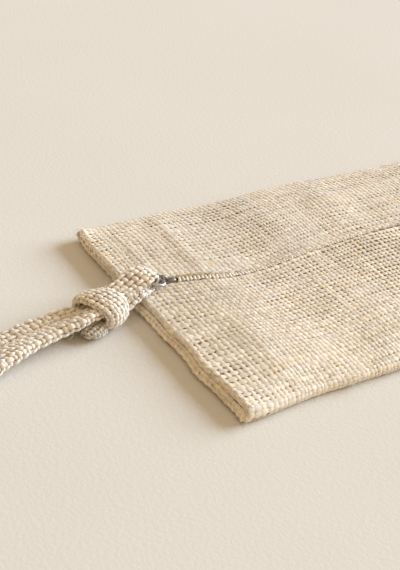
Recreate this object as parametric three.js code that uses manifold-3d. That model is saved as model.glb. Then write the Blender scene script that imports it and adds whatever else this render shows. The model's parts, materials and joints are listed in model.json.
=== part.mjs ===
// A small flat zip pouch of coarse plain-woven linen, lying on its back panel with the zip on top.
// One cloth is wrapped round so that both long edges are folds, its two hemmed edges meet at the zip,
// and both ends are seamed. A folded linen strap is drawn through the ring of the zip slider,
// tied in one overhand knot, and its two free tails lie on the surface past the end of the pouch.
// Millimetres. X runs along the zip from the slider's end, Y from the front fold to the back fold, Z up.
import * as THREE from 'three';
import { mergeVertices } from 'three/addons/utils/BufferGeometryUtils.js';
import Module from 'manifold-3d';

// ---------------------------------------------------------------- driving sizes
const LENGTH = 225;          // over the two end seams
const WIDTH = 125;           // over the two long folds
const CLOTH = 1.6;           // thickness of the woven cloth
const FOLD_R = 2.4;          // outer radius of the long folds
const STRAP_LENGTH = 75.8;     // how far the strap reaches past the end seam
const ORIGIN = { x: (LENGTH - STRAP_LENGTH) / 2, y: 61.48 }; // middle of the whole object's box

// the end seams in side view: an upper and a lower roll of cloth that meet in a groove
// d: distance in from the end, h: height, r: radius, a0 to a1: angle from the groove to the flat face
const ROLL_TOP = { d: 3.6, h: 4.45, r: 1.5, a0: 235.4, a1: 90 };
const ROLL_LOW = { d: 1.7, h: 1.7, r: 1.7, a0: 55.4, a1: 270 };
const ROLL_STEPS = 5;

// outline and crown, a row for each place along the pouch
const PLAN = table(['x', 'front', 'back', 'rise'], [
  [0, -4.8, 125.6, 2.0],
  [9, -3.9, 125.4, 2.5],
  [20, -2.6, 125.6, 3.0],
  [34, -1.7, 126.0, 3.3],
  [46, -1.8, 126.2, 3.2],
  [60, -2.0, 125.2, 3.1],
  [72, -1.6, 124.8, 3.3],
  [90, -1.2, 126.2, 3.6],
  [108, -1.0, 127.0, 3.9],
  [126, -1.0, 125.6, 3.9],
  [150, -1.1, 125.2, 3.8],
  [180, -0.9, 125.0, 3.5],
  [205, -1.0, 125.2, 3.0],
  [216, -1.6, 125.8, 2.6],
  [225, -2.4, 126.4, 2.0],
]);
const CORNER = { inset: 2.8, fade: 3.2 };   // how far the seam is drawn in at the four corners
const DRAWN = { back: 2.8, front: 0.5, along: 7, fade: 16 };   // how far the two ends are drawn in towards their corners

// soft ridges (+) and troughs (-) that cross the top: where they run at the front, middle and back,
// half width, height, and the stretch of Y that they cover
const CREASES = table(['front', 'middle', 'back', 'half', 'height', 'from', 'to'], [
  [15, 15, 15, 2.0, 0.45, 84, 128],
  [22, 31, 36, 4.0, 0.8, -10, 135],
  [54, 50, 58, 8.0, -0.8, -10, 135],
  [200, 196, 202, 6.0, 0.6, -10, 135],
  [178, 170, 176, 8.0, -0.55, -10, 135],
]);
// swells (+) and dents (-) of the empty bag
const DENTS = table(['x', 'y', 'rx', 'ry', 'height'], [
  [76, 98, 12, 12, 0.7],
  [93, 80, 10, 8, -0.6],
  [112, 104, 9, 9, 0.7],
  [120, 90, 9, 7, -0.6],
  [30, 24, 12, 14, 0.5],
  [80, 22, 14, 12, 0.6],
  [110, 40, 16, 12, -0.5],
  [145, 34, 14, 14, 0.6],
  [160, 96, 14, 12, -0.5],
]);
// the zip's line and the gap between the two hemmed edges of cloth
const ZIP = table(['x', 'y', 'gap'], [
  [9, 77.0, 2.8],
  [15, 75.7, 3.2],
  [22, 73.6, 3.1],
  [28, 71.3, 2.6],
  [36, 68.6, 2.2],
  [44, 67.6, 1.8],
  [52, 67.6, 1.3],
  [60, 67.9, 1.0],
  [72, 69.2, 0.9],
  [85, 70.6, 0.9],
  [100, 71.8, 0.9],
  [120, 72.2, 0.9],
  [150, 71.4, 0.9],
  [180, 70.2, 0.9],
  [217, 69.2, 0.9],
]);
const SLOT = { from: 11, to: 216.5 };
const HEM_BACK = { offset: 1.9, half: 1.3, height: 0.75 };   // raised hem behind the zip
const HEM_FRONT = { offset: -1.8, half: 1.3, height: 0.3 };
const CAVITY = { from: 7.2, to: 217.8, side: 1.9 };

const CHAIN = { from: 15.2, to: 215, tape: 10.5, tapeThick: 0.55, coil: 3.4, coilHigh: 0.6, under: 0.62, dip: 0.8 };
const BEAD = { from: 22.2, fade: 44, to: 54, side: 0.36, below: 0.7, least: 0.25 };   // the coil where the slot shows it

// slider: its own frame lies on the zip's line, u along the zip
const SLIDER = {
  x: 16.2, long: 9.0, wide: 5.6, low0: 2.05, low1: 2.6, top0: 4.6, top1: 5.15,
  postU0: -4.3, postU1: -2.9, postWide: 1.4, flange: 0.5, flangeTo: 4.05,
  domeLong: 8.8, domeWide: 2.4, domeHigh: 2.1,
  bridgeWide: 1.6, bridgeU0: -3.9, holeU0: -3.15, holeU1: -0.6, bridgeU1: 0.2, holeZ0: 6.95, holeZ1: 9.1, bridgeZ: 9.8,
};
const RING = { x: 11.1, y: 75.4, z: 8.7, rx: 3.3, ry: 4.2, wire: 0.6, square: 2.7, tilt: -14, turn: -12 };

// the strap where it is folded through the ring: middle of the strip, width, thickness, roll in degrees
const STRIP = ['x', 'y', 'z', 'width', 'thick', 'roll'];
const LOOP = table(STRIP, [
  [-15.0, 67.6, 4.8, 10.0, 2.4, 0],     // inside the knot
  [-9.0, 69.4, 4.9, 10.4, 2.4, 3],
  [-4.0, 70.9, 6.8, 10.8, 2.3, 3],
  [0.5, 72.1, 7.9, 10.6, 2.2, 1],
  [5.0, 73.3, 7.7, 9.0, 2.0, 0],
  [8.0, 74.3, 7.5, 6.2, 1.65, 0],
  [9.9, 75.0, 8.2, 4.9, 1.55, 0],
  [10.5, 75.3, 9.7, 4.9, 1.55, 0],
  [9.9, 75.4, 11.4, 6.4, 1.9, 0],
  [7.7, 75.2, 12.6, 9.0, 2.4, -3],
  [4.2, 74.5, 12.4, 10.8, 2.5, -6],
  [0.2, 73.5, 11.3, 11.0, 2.5, -8],
  [-4.6, 72.1, 9.9, 10.8, 2.5, -8],
  [-9.5, 70.5, 9.0, 10.4, 2.4, -5],
  [-15.0, 68.8, 8.2, 10.0, 2.4, 0],     // inside the knot
]);
const LOOP_SIDE = [-0.29, 0.957, 0];
const TAIL_FRONT = table(STRIP, [
  [-15.0, 67.4, 7.0, 10.0, 4.0, 10],
  [-21.5, 67.0, 6.6, 11.0, 4.2, 24],
  [-28.0, 66.0, 5.6, 11.6, 4.4, 24],
  [-36.0, 64.6, 4.8, 11.8, 4.6, 22],
  [-45.0, 62.8, 4.3, 11.8, 4.6, 20],
  [-54.0, 60.2, 4.1, 11.8, 4.6, 18],
  [-62.0, 57.3, 3.8, 11.8, 4.6, 14],
  [-73.6, 52.6, 2.9, 11.6, 4.6, 6],
]);
const TAIL_BACK = table(STRIP, [
  [-15.0, 68.6, 6.0, 10.0, 2.8, 0],
  [-21.0, 70.0, 5.4, 10.8, 2.8, 0],
  [-28.0, 71.2, 4.5, 11.2, 2.8, 0],
  [-36.0, 71.4, 3.3, 11.4, 2.8, 0],
  [-45.0, 70.2, 2.2, 11.4, 2.8, 0],
  [-54.0, 68.4, 1.6, 11.4, 2.8, 0],
  [-62.0, 66.0, 1.5, 11.4, 2.8, 0],
  [-68.0, 64.0, 1.5, 11.2, 2.8, 0],
]);
// the knot along the strap: distance from its middle, half width, half height, height of its middle, sideways shift
const KNOT_AT = { x: -16, y: 66 };
const KNOT_AXIS = { x: -0.93, y: -0.37 };
const KNOT = table(['s', 'half', 'high', 'z', 'shift'], [
  [-9.6, 3.5, 2.8, 7.0, 0.6],
  [-8.0, 6.5, 5.2, 6.8, 0.8],
  [-5.0, 8.2, 6.3, 6.6, 1.2],
  [-1.5, 9.4, 6.5, 6.5, 2.0],
  [1.5, 9.4, 5.8, 6.6, 2.8],
  [3.8, 7.5, 4.6, 6.6, 3.4],
  [5.0, 4.0, 2.4, 6.6, 3.6],
]);
const TUCK = { x: -20.8, y: 62.6, z: 3.2, rx: 5.6, ry: 4.4, rz: 3.2 };   // the turn of the strap that leaves the knot below

const LINEN = new THREE.Color(0.80, 0.71, 0.56);
const STRAP_LINEN = new THREE.Color(0.78, 0.72, 0.61);
const TAPE = new THREE.Color(0.74, 0.66, 0.52);
const STEEL = new THREE.Color(0.55, 0.54, 0.52);

// ---------------------------------------------------------------- small tools
function table(columns, rows) {
  return rows.map((row) => Object.fromEntries(columns.map((name, i) => [name, row[i]])));
}
const rad = (degrees) => degrees * Math.PI / 180;
const mix = (a, b, t) => a + (b - a) * t;
const clamp = (v, a, b) => Math.min(b, Math.max(a, v));
const step = (v) => 1 / (1 + Math.exp(-v));

// slope of a column at row i, for uneven spacing
function slope(at, of, i) {
  const n = at.length;
  if (i === 0) return (of[1] - of[0]) / (at[1] - at[0]);
  if (i === n - 1) return (of[n - 1] - of[n - 2]) / (at[n - 1] - at[n - 2]);
  const a = at[i] - at[i - 1], b = at[i + 1] - at[i];
  return (a * a * of[i + 1] + (b * b - a * a) * of[i] - b * b * of[i - 1]) / (a * b * (a + b));
}
// smooth reading of a list of values along a rising parameter
function smooth(at, of, t) {
  t = clamp(t, at[0], at[at.length - 1]);
  let i = 0;
  while (i < at.length - 2 && t > at[i + 1]) i++;
  const w = at[i + 1] - at[i], s = (t - at[i]) / w, s2 = s * s, s3 = s2 * s;
  return (2 * s3 - 3 * s2 + 1) * of[i] + (s3 - 2 * s2 + s) * w * slope(at, of, i)
    + (-2 * s3 + 3 * s2) * of[i + 1] + (s3 - s2) * w * slope(at, of, i + 1);
}
const read = (rows, key, name, t) => smooth(rows.map((r) => r[key]), rows.map((r) => r[name]), t);
const frontY = (x) => read(PLAN, 'x', 'front', x);
const backY = (x) => read(PLAN, 'x', 'back', x);
const zipY = (x) => read(ZIP, 'x', 'y', x);
const zipGap = (x) => read(ZIP, 'x', 'gap', x);

// a closed skin over rings of points of one count; rings: [ [Vector3...], ... ]
function skin(rings, { closed = false, split = 0 } = {}) {
  const n = rings[0].length, pos = [], tri = [];
  for (const ring of rings) for (const p of ring) pos.push(p.x, p.y, p.z);
  const at = (i, j) => (i % rings.length) * n + (j % n);
  for (let i = 0; i < rings.length - (closed ? 0 : 1); i++) {
    for (let j = 0; j < n; j++) tri.push(at(i, j), at(i + 1, j), at(i + 1, j + 1), at(i, j), at(i + 1, j + 1), at(i, j + 1));
  }
  if (!closed) {
    for (const [i, turn] of [[0, false], [rings.length - 1, true]]) {
      const add = (a, b, c) => (turn ? tri.push(a, c, b) : tri.push(a, b, c));
      if (!split) {
        const mid = rings[i].reduce((s, p) => s.add(p), new THREE.Vector3()).multiplyScalar(1 / n);
        const c = pos.length / 3;
        pos.push(mid.x, mid.y, mid.z);
        for (let j = 0; j < n; j++) add(c, at(i, j), at(i, j + 1));
      } else { // a long thin ring: its lower side 0 to split and its upper side n to split are joined straight across
        let a = 0, b = n;
        while (a < split || b > split) {
          const low = a < split ? rings[i][a + 1].y : Infinity, high = b > split ? rings[i][b - 1].y : Infinity;
          if (low <= high && !(b === n && a === 0 && high === low)) { if (b !== split || a + 1 !== split) add(at(i, a), at(i, a + 1), at(i, b)); a++; }
          else { if (a !== split || b - 1 !== split) add(at(i, a), at(i, b - 1), at(i, b)); b--; }
        }
      }
    }
  }
  const g = new THREE.BufferGeometry();
  g.setAttribute('position', new THREE.BufferAttribute(new Float32Array(pos), 3));
  g.setIndex(tri);
  if (volume(g) < 0) { // the faces look outwards whichever way the rings run
    for (let i = 0; i < tri.length; i += 3) [tri[i + 1], tri[i + 2]] = [tri[i + 2], tri[i + 1]];
    g.setIndex(tri);
  }
  return g;
}

const wasm = await Module();
wasm.setup();
function volume(g) {
  const p = g.attributes.position, ix = g.index;
  let v = 0;
  const a = new THREE.Vector3(), b = new THREE.Vector3(), c = new THREE.Vector3();
  for (let i = 0; i < ix.count; i += 3) {
    a.fromBufferAttribute(p, ix.getX(i)); b.fromBufferAttribute(p, ix.getX(i + 1)); c.fromBufferAttribute(p, ix.getX(i + 2));
    v += a.dot(b.cross(c)) / 6;
  }
  return v;
}
function solid(geometry) {
  let g = geometry.clone();
  for (const name of Object.keys(g.attributes)) if (name !== 'position') g.deleteAttribute(name);
  g = mergeVertices(g, 1e-4);
  const tri = Uint32Array.from(g.index.array);
  if (volume(g) < 0) for (let i = 0; i < tri.length; i += 3) [tri[i + 1], tri[i + 2]] = [tri[i + 2], tri[i + 1]];
  return new wasm.Manifold(new wasm.Mesh({ numProp: 3, vertProperties: Float32Array.from(g.attributes.position.array), triVerts: tri }));
}
function geometryOf(body) {
  const m = body.getMesh();
  const g = new THREE.BufferGeometry();
  g.setAttribute('position', new THREE.BufferAttribute(Float32Array.from(m.vertProperties), 3));
  g.setIndex(Array.from(m.triVerts));
  return g;
}
const join = (bodies) => bodies.reduce((a, b) => a.add(b));

// ---------------------------------------------------------------- the pouch's form
const edgeHeight = (x) => {
  const e = Math.max(0, Math.min(x, LENGTH - x) - ROLL_TOP.d);
  return 2 * FOLD_R + (ROLL_TOP.h + ROLL_TOP.r - 2 * FOLD_R) * Math.exp(-e / 6);
};
function topHeight(x, y, hems = true) {
  const y0 = frontY(x), y1 = backY(x);
  const u = Math.max(0, Math.min(y - y0, y1 - y) - FOLD_R);
  const e = Math.max(0, Math.min(x, LENGTH - x) - ROLL_TOP.d);
  const fade = (1 - Math.exp(-u / 6)) * (1 - Math.exp(-e / 5));
  const v = (y - y0) / (y1 - y0);
  let z = edgeHeight(x) + read(PLAN, 'x', 'rise', x) * (1 - Math.exp(-u / 13)) * (1 - Math.exp(-e / 9));
  for (const c of CREASES) {
    const at = v < 0.5 ? mix(c.front, c.middle, v * 2) : mix(c.middle, c.back, v * 2 - 1);
    z += c.height * Math.exp(-(((x - at) / c.half) ** 2)) * step((y - c.from) / 4) * step((c.to - y) / 4) * fade;
  }
  for (const d of DENTS) z += d.height * Math.exp(-(((x - d.x) / d.rx) ** 2) - (((y - d.y) / d.ry) ** 2)) * fade;
  if (hems) {
    const on = step((x - 24) / 2) * step((214 - x) / 2), off = y - zipY(x);
    for (const h of [HEM_BACK, HEM_FRONT]) z += on * h.height * Math.exp(-(((off - h.offset) / h.half) ** 2));
  }
  return z;
}

// where a cross-section stands: x and height of the upper and lower face
function stations() {
  const out = [];
  for (let k = 0; k < ROLL_STEPS; k++) {
    const f = k / (ROLL_STEPS - 1), arc = (r) => rad(mix(r.a0, r.a1, f));
    const [t, l] = [ROLL_TOP, ROLL_LOW];
    out.push({
      xTop: t.d + t.r * Math.cos(arc(t)), xLow: l.d + l.r * Math.cos(arc(l)),
      zTop: t.h + t.r * Math.sin(arc(t)), zLow: l.h + l.r * Math.sin(arc(l)),
      roll: true, inset: CORNER.inset * Math.exp(-k / (ROLL_STEPS - 1) * 5 / CORNER.fade), mid: mix(3.16, FOLD_R, f),
    });
  }
  const last = out[out.length - 1];
  const half = ALONG.map((x, k) => ({ xTop: x, xLow: k === 0 ? mix(ROLL_LOW.d, x, 0.75) : x, inset: last.inset * Math.exp(-(x - 3.6) / CORNER.fade), mid: FOLD_R, zLow: 0 }));
  const left = [...out, ...half];
  const right = left.slice(0, -1).map((s) => ({ ...s, xTop: LENGTH - s.xTop, xLow: LENGTH - s.xLow })).reverse();
  return [...left, ...right];
}

const ALONG = [6, 9.5, 13, 17, 21, 25, 29, 33, 38, 44, 50, 57, 65, 74, 83, 93, 103, 113];   // sections from an end to the middle
const FOLD_STEPS = 3;
// points of a section from the front fold to the back fold, as a share of the width or a distance from the zip
const ACROSS = [0, 0.03, 0.08, 0.16, 0.26, 0.37, 0.47, 'zip-4.5', 'zip-3', 'zip-1.8', 'zip-0.3', 'zip+0.3', 'zip+1.9', 'zip+3.2', 'zip+5', 0.71, 0.81, 0.9, 0.96, 1];
const BENEATH = [0, 0.25, 0.5, 0.75, 1];
function acrossY(mark, x, y0, y1) {
  if (typeof mark === 'string') return zipY(clamp(x, 9, 217)) + Number(mark.slice(3));
  return mix(y0, y1, mark);
}
function outerRing(s) {
  const xMid = (s.xTop + s.xLow) / 2, ring = [];
  const y0 = frontY(xMid) + s.inset, y1 = backY(xMid) - s.inset;
  const top = s.roll ? s.zTop : edgeHeight(s.xTop);
  const point = (y, q, z) => {
    const x = q >= 0 ? mix(xMid, s.xTop, q) : mix(xMid, s.xLow, -q);
    return new THREE.Vector3(x + drawnIn(xMid, y, y0, y1), y, z ?? (q >= 0 ? mix(s.mid, top, q) : mix(s.mid, s.zLow, -q)));
  };
  const low = [], high = [];
  for (let k = 1; k < FOLD_STEPS; k++) {
    const a = rad(90 * k / FOLD_STEPS), y = y0 + FOLD_R * (1 - Math.cos(a));
    low.push(point(y, -Math.sin(a))); high.push(point(y, Math.sin(a)));
  }
  for (const mark of BENEATH) low.push(point(acrossY(mark, xMid, y0 + FOLD_R, y1 - FOLD_R), -1));
  for (const mark of ACROSS) {
    const y = acrossY(mark, xMid, y0 + FOLD_R, y1 - FOLD_R);
    high.push(s.roll ? point(y, 1) : point(y, 1, topHeight(s.xTop, y)));
  }
  for (let k = FOLD_STEPS - 1; k > 0; k--) {
    const a = rad(90 * k / FOLD_STEPS), y = y1 - FOLD_R * (1 - Math.cos(a));
    low.push(point(y, -Math.sin(a))); high.push(point(y, Math.sin(a)));
  }
  ring.push(point(y0, 0), ...low, point(y1, 0), ...high.reverse());
  return ring;
}
// the corners of the outline are round
function drawnIn(x, y, y0, y1) {
  const d = DRAWN.back * Math.exp(-Math.max(0, y1 - y) / DRAWN.along) + DRAWN.front * Math.exp(-Math.max(0, y - y0) / DRAWN.along);
  return d * (Math.exp(-Math.max(0, x) / DRAWN.fade) - Math.exp(-Math.max(0, LENGTH - x) / DRAWN.fade));
}
const LOW_COUNT = BENEATH.length + 2 * (FOLD_STEPS - 1) + 1;
function cavityRing(x) {
  const y0 = frontY(x) + CAVITY.side, y1 = backY(x) - CAVITY.side, low = [], high = [];
  for (const mark of BENEATH) low.push(new THREE.Vector3(x, acrossY(mark, x, y0, y1), CLOTH));
  for (const mark of [0, 0.03, 0.08, 0.16, 0.28, 0.42, 'zip-5', 'zip+0', 'zip+5', 0.72, 0.84, 0.94, 1]) {
    const y = acrossY(mark, x, y0, y1);
    high.push(new THREE.Vector3(x, y, topHeight(x, y, false) - CLOTH));
  }
  return [...low, ...high.reverse()];
}
function slotRing(x) {
  const y = zipY(x), g = zipGap(x) / 2;
  return [[-g, 2.6], [g, 2.6], [g, 14], [-g, 14]].map(([dy, z]) => new THREE.Vector3(x, y + dy, z));
}
const spread = (a, b, n) => Array.from({ length: n }, (_, i) => mix(a, b, i / (n - 1)));

// slider frame
const zipTurn = Math.atan2(zipY(SLIDER.x + 3) - zipY(SLIDER.x - 3), 6);
const toSlider = new THREE.Matrix4().makeRotationZ(zipTurn).setPosition(SLIDER.x, zipY(SLIDER.x), 0);
function block(u0, u1, v0, v1, z0, z1) {
  const g = new THREE.BoxGeometry(u1 - u0, v1 - v0, z1 - z0);
  g.translate((u0 + u1) / 2, (v0 + v1) / 2, (z0 + z1) / 2);
  return g.applyMatrix4(toSlider);
}

function pouchCloth() {
  const outer = solid(skin(stations().map(outerRing), { split: LOW_COUNT }));
  const inside = ALONG.filter((x) => x > CAVITY.from + 1);
  const inner = solid(skin([CAVITY.from, ...inside, ...inside.map((x) => LENGTH - x).reverse(), CAVITY.to].map(cavityRing)));
  const slot = solid(skin([SLOT.from, 13, 15, 17, 19, 22, 25, 28, 32, 36, 40, 46, 53, 60, 70, 85, 100, 120, 150, 180, SLOT.to].map(slotRing)));
  const room = solid(block(-SLIDER.long / 2 - 0.5, SLIDER.long / 2 + 0.5, -SLIDER.wide / 2 - 0.5, SLIDER.wide / 2 + 0.5, CLOTH + 0.05, SLIDER.top1 + 0.35));
  return geometryOf(outer.subtract(inner).subtract(slot).subtract(room));
}

// ---------------------------------------------------------------- zip chain and slider
function chainTop(x) {   // top of the coil: coil and tape both stay clear under the cloth
  const dip = CHAIN.dip * (1 - THREE.MathUtils.smoothstep(x, 22.2, 28)), y = zipY(x);
  const room = (reach) => Math.min(...spread(-reach, reach, 5).map((d) => topHeight(x, y + d, false))) - CLOTH - CHAIN.under;
  return Math.min(room(CHAIN.coil / 2), room(CHAIN.tape / 2) + CHAIN.coilHigh) - dip;
}
function zipChain() {
  const xs = [CHAIN.from, 18, 21.8, 22.6, 23.8, 25.2, 27, 29.5, 33, 37, 41, 45, 49, 53, 57, 65, 75, 86, 98, 112, 128, 145, 162, 180, 198, CHAIN.to];
  const inSlider = 4.25;   // level inside the slider
  const rings = xs.map((x) => {
    const blend = THREE.MathUtils.smoothstep(x, 21.8, 27);
    const y = zipY(x), z = mix(inSlider, chainTop(x), blend), t = CHAIN.tape / 2, c = CHAIN.coil / 2;
    const z1 = z - CHAIN.coilHigh, z0 = z1 - CHAIN.tapeThick;
    // where the slot is wide the coil stands up in it, between the two edges of cloth
    const lip = Math.min(topHeight(x, y - zipGap(x) / 2), topHeight(x, y + zipGap(x) / 2)) - BEAD.below;
    const b = Math.max(BEAD.least, zipGap(x) / 2 - BEAD.side);
    const up = THREE.MathUtils.smoothstep(x, BEAD.from, BEAD.from + 1.6) * (1 - THREE.MathUtils.smoothstep(x, BEAD.fade, BEAD.to));
    const zb = mix(z + 0.03, Math.max(lip, z + 0.03), up);
    return [[-t, z0], [t, z0], [t, z1], [c, z1], [c * 0.75, z], [b, z], [b * 0.8, zb], [-b * 0.8, zb], [-b, z], [-c * 0.75, z], [-c, z1], [-t, z1]]
      .map(([dy, dz]) => new THREE.Vector3(x, y + dy, dz));
  });
  return skin(rings);
}
function slider() {
  const s = SLIDER, l = s.long / 2, w = s.wide / 2;
  const dome = new THREE.SphereGeometry(1, 20, 12);
  dome.scale(s.domeLong / 2, s.domeWide / 2, s.domeHigh);
  dome.translate(0, 0, s.top1 - 0.05);
  dome.applyMatrix4(toSlider);
  const keep = solid(block(-6, 6, -4, 4, s.top1 - 0.3, 20));
  const arch = new THREE.Shape();
  const round = 1.1;
  arch.moveTo(s.bridgeU0, s.top1 - 0.3);
  arch.lineTo(s.bridgeU1, s.top1 - 0.3);
  arch.lineTo(s.bridgeU1, s.bridgeZ - round);
  arch.lineTo(s.bridgeU1 - round * 0.35, s.bridgeZ - round * 0.35);
  arch.lineTo(s.bridgeU1 - round, s.bridgeZ);
  arch.lineTo(s.bridgeU0 + round, s.bridgeZ);
  arch.lineTo(s.bridgeU0 + round * 0.35, s.bridgeZ - round * 0.35);
  arch.lineTo(s.bridgeU0, s.bridgeZ - round);
  arch.closePath();
  const hole = new THREE.Path();
  hole.moveTo(s.holeU0, s.holeZ0);
  hole.lineTo(s.holeU0, s.holeZ1);
  hole.lineTo(s.holeU1, s.holeZ1);
  hole.lineTo(s.holeU1, s.holeZ0);
  hole.closePath();
  arch.holes.push(hole);
  const bridge = new THREE.ExtrudeGeometry(arch, { depth: s.bridgeWide, bevelEnabled: false });
  bridge.rotateX(Math.PI / 2);
  bridge.translate(0, s.bridgeWide / 2, 0);
  bridge.applyMatrix4(toSlider);
  return geometryOf(join([
    solid(block(-l, l, -w, w, s.low0, s.low1)),
    solid(block(-l, l, -w, w, s.top0, s.top1)),
    solid(block(s.postU0, s.postU1, -s.postWide / 2, s.postWide / 2, s.low1 - 0.1, s.top0 + 0.1)),
    solid(block(-l, l, -w, -w + s.flange, s.flangeTo, s.top0 + 0.1)),
    solid(block(-l, l, w - s.flange, w, s.flangeTo, s.top0 + 0.1)),
    solid(dome).intersect(keep),
    solid(bridge),
  ]));
}
function pullRing() {
  const turn = new THREE.Matrix4().makeRotationZ(rad(RING.turn)).multiply(new THREE.Matrix4().makeRotationY(-rad(RING.tilt)));
  const rings = [];
  const around = 28, section = 8;
  for (let i = 0; i < around; i++) {
    const a = 2 * Math.PI * (i + 0.5) / around;
    const on = (t) => new THREE.Vector3(
      RING.rx * Math.sign(Math.cos(t)) * Math.abs(Math.cos(t)) ** (2 / RING.square),
      RING.ry * Math.sign(Math.sin(t)) * Math.abs(Math.sin(t)) ** (2 / RING.square), 0);
    const mid = on(a), run = on(a + 0.05).sub(on(a - 0.05)), out = new THREE.Vector3(run.y, -run.x, 0).normalize();
    const ring = [];
    for (let j = 0; j < section; j++) {
      const b = 2 * Math.PI * j / section;
      ring.push(mid.clone().addScaledVector(out, RING.wire * Math.cos(b)).add(new THREE.Vector3(0, 0, RING.wire * Math.sin(b)))
        .applyMatrix4(turn).add(new THREE.Vector3(RING.x, RING.y, RING.z)));
    }
    rings.push(ring);
  }
  return skin(rings, { closed: true });
}

// ---------------------------------------------------------------- strap
function strip(rows, steps, side = null, sides = 10, power = 2.6) {
  const dist = [0];
  for (let i = 1; i < rows.length; i++) dist.push(dist[i - 1] + Math.hypot(rows[i].x - rows[i - 1].x, rows[i].y - rows[i - 1].y, rows[i].z - rows[i - 1].z));
  const at = (t) => Object.fromEntries(STRIP.map((name) => [name, smooth(dist, rows.map((r) => r[name]), t)]));
  const total = dist[dist.length - 1], rings = [];
  for (let i = 0; i < steps; i++) {
    const t = total * i / (steps - 1), h = total / 400, q = at(t), a = at(Math.max(0, t - h)), b = at(Math.min(total, t + h));
    const along = new THREE.Vector3(b.x - a.x, b.y - a.y, b.z - a.z).normalize();
    const across = side ? new THREE.Vector3(...side) : new THREE.Vector3(0, 0, 1).cross(along);
    across.addScaledVector(along, -across.dot(along)).normalize();
    const up = along.clone().cross(across);
    const r = rad(q.roll), s2 = across.clone().multiplyScalar(Math.cos(r)).addScaledVector(up, Math.sin(r));
    const u2 = up.clone().multiplyScalar(Math.cos(r)).addScaledVector(across, -Math.sin(r));
    const ring = [];
    for (let j = 0; j < sides; j++) {
      const g = 2 * Math.PI * (j + 0.5) / sides, c = Math.cos(g), s = Math.sin(g);
      ring.push(new THREE.Vector3(q.x, q.y, q.z)
        .addScaledVector(s2, Math.sign(c) * Math.abs(c) ** (2 / power) * q.width / 2)
        .addScaledVector(u2, Math.sign(s) * Math.abs(s) ** (2 / power) * q.thick / 2));
    }
    rings.push(ring);
  }
  return skin(rings);
}
function knotBody(steps = 12, sides = 18, power = 2.4) {
  const ax = new THREE.Vector3(KNOT_AXIS.x, KNOT_AXIS.y, 0).normalize(), sd = new THREE.Vector3(ax.y, -ax.x, 0);
  const rings = spread(KNOT[0].s, KNOT[KNOT.length - 1].s, steps).map((s) => {
    const [half, high, z, shift] = ['half', 'high', 'z', 'shift'].map((name) => read(KNOT, 's', name, s));
    return Array.from({ length: sides }, (_, j) => {
      const g = 2 * Math.PI * (j + 0.5) / sides, c = Math.cos(g), n = Math.sin(g);
      return new THREE.Vector3(KNOT_AT.x, KNOT_AT.y, Math.max(0, z + Math.sign(n) * Math.abs(n) ** (2 / power) * high))
        .addScaledVector(ax, s).addScaledVector(sd, shift + Math.sign(c) * Math.abs(c) ** (2 / power) * half);
    });
  });
  return skin(rings);
}
function strap() {
  const tuck = new THREE.SphereGeometry(1, 12, 7);
  tuck.rotateX(Math.PI / 2);
  tuck.scale(TUCK.rx, TUCK.ry, TUCK.rz);
  tuck.rotateZ(rad(20));
  tuck.translate(TUCK.x, TUCK.y, TUCK.z);
  const all = join([solid(strip(LOOP, 36, LOOP_SIDE)), solid(strip(TAIL_FRONT, 16)), solid(strip(TAIL_BACK, 15)), solid(knotBody()), solid(tuck)]);
  // everything that touches the surface is pressed flat on it
  const below = new THREE.BoxGeometry(200, 200, 20);
  below.translate(0, 60, -10);
  return geometryOf(all.subtract(solid(below)));
}

// ---------------------------------------------------------------- the scene
const pouch = new THREE.Group();
const model = new THREE.Group();
model.position.set(-ORIGIN.x, -ORIGIN.y, 0);
pouch.add(model);
function add(name, geometry, color, roughness, metalness) {
  geometry.computeVertexNormals();
  const mesh = new THREE.Mesh(geometry, new THREE.MeshStandardMaterial({ color, roughness, metalness }));
  mesh.name = name;
  model.add(mesh);
}
add('pouch_cloth', pouchCloth(), LINEN, 0.95, 0);
add('zip_chain', zipChain(), TAPE, 0.8, 0);
add('zip_slider', slider(), STEEL, 0.35, 1);
add('pull_ring', pullRing(), STEEL, 0.3, 1);
add('strap', strap(), STRAP_LINEN, 0.95, 0);

export default pouch;
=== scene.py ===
"""A small linen zip pouch with a knotted pull strap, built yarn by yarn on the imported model's forms.

Sizes in this script are millimetres in the pouch's own frame (X along the zip from the slider's end,
Y from the front fold to the back fold, Z up); world() turns them into the row frame in metres.
"""
import bpy
import json
import math
import numpy as np
from mathutils import Matrix

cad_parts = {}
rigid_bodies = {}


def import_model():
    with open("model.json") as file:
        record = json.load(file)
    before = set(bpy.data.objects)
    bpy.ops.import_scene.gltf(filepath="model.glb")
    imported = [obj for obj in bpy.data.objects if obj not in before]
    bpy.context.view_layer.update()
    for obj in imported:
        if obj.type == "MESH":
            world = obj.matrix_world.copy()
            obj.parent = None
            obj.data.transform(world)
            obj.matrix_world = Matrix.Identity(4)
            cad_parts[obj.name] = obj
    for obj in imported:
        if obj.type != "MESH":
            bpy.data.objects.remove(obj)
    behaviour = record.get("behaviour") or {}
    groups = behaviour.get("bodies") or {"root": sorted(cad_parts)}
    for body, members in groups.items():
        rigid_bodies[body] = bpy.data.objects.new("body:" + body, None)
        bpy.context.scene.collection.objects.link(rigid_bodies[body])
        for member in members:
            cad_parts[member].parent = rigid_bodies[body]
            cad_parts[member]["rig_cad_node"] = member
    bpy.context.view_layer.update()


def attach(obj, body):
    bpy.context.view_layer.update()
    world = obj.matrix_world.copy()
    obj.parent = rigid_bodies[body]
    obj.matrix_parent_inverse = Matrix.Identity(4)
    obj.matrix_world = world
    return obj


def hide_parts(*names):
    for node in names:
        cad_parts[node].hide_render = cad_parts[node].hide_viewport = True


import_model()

# ------------------------------------------------------------------ the forms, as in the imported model
LENGTH, CLOTH, FOLD_R = 225.0, 1.6, 2.4
ORIGIN = np.array([74.6, 61.48, 0.0])
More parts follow.
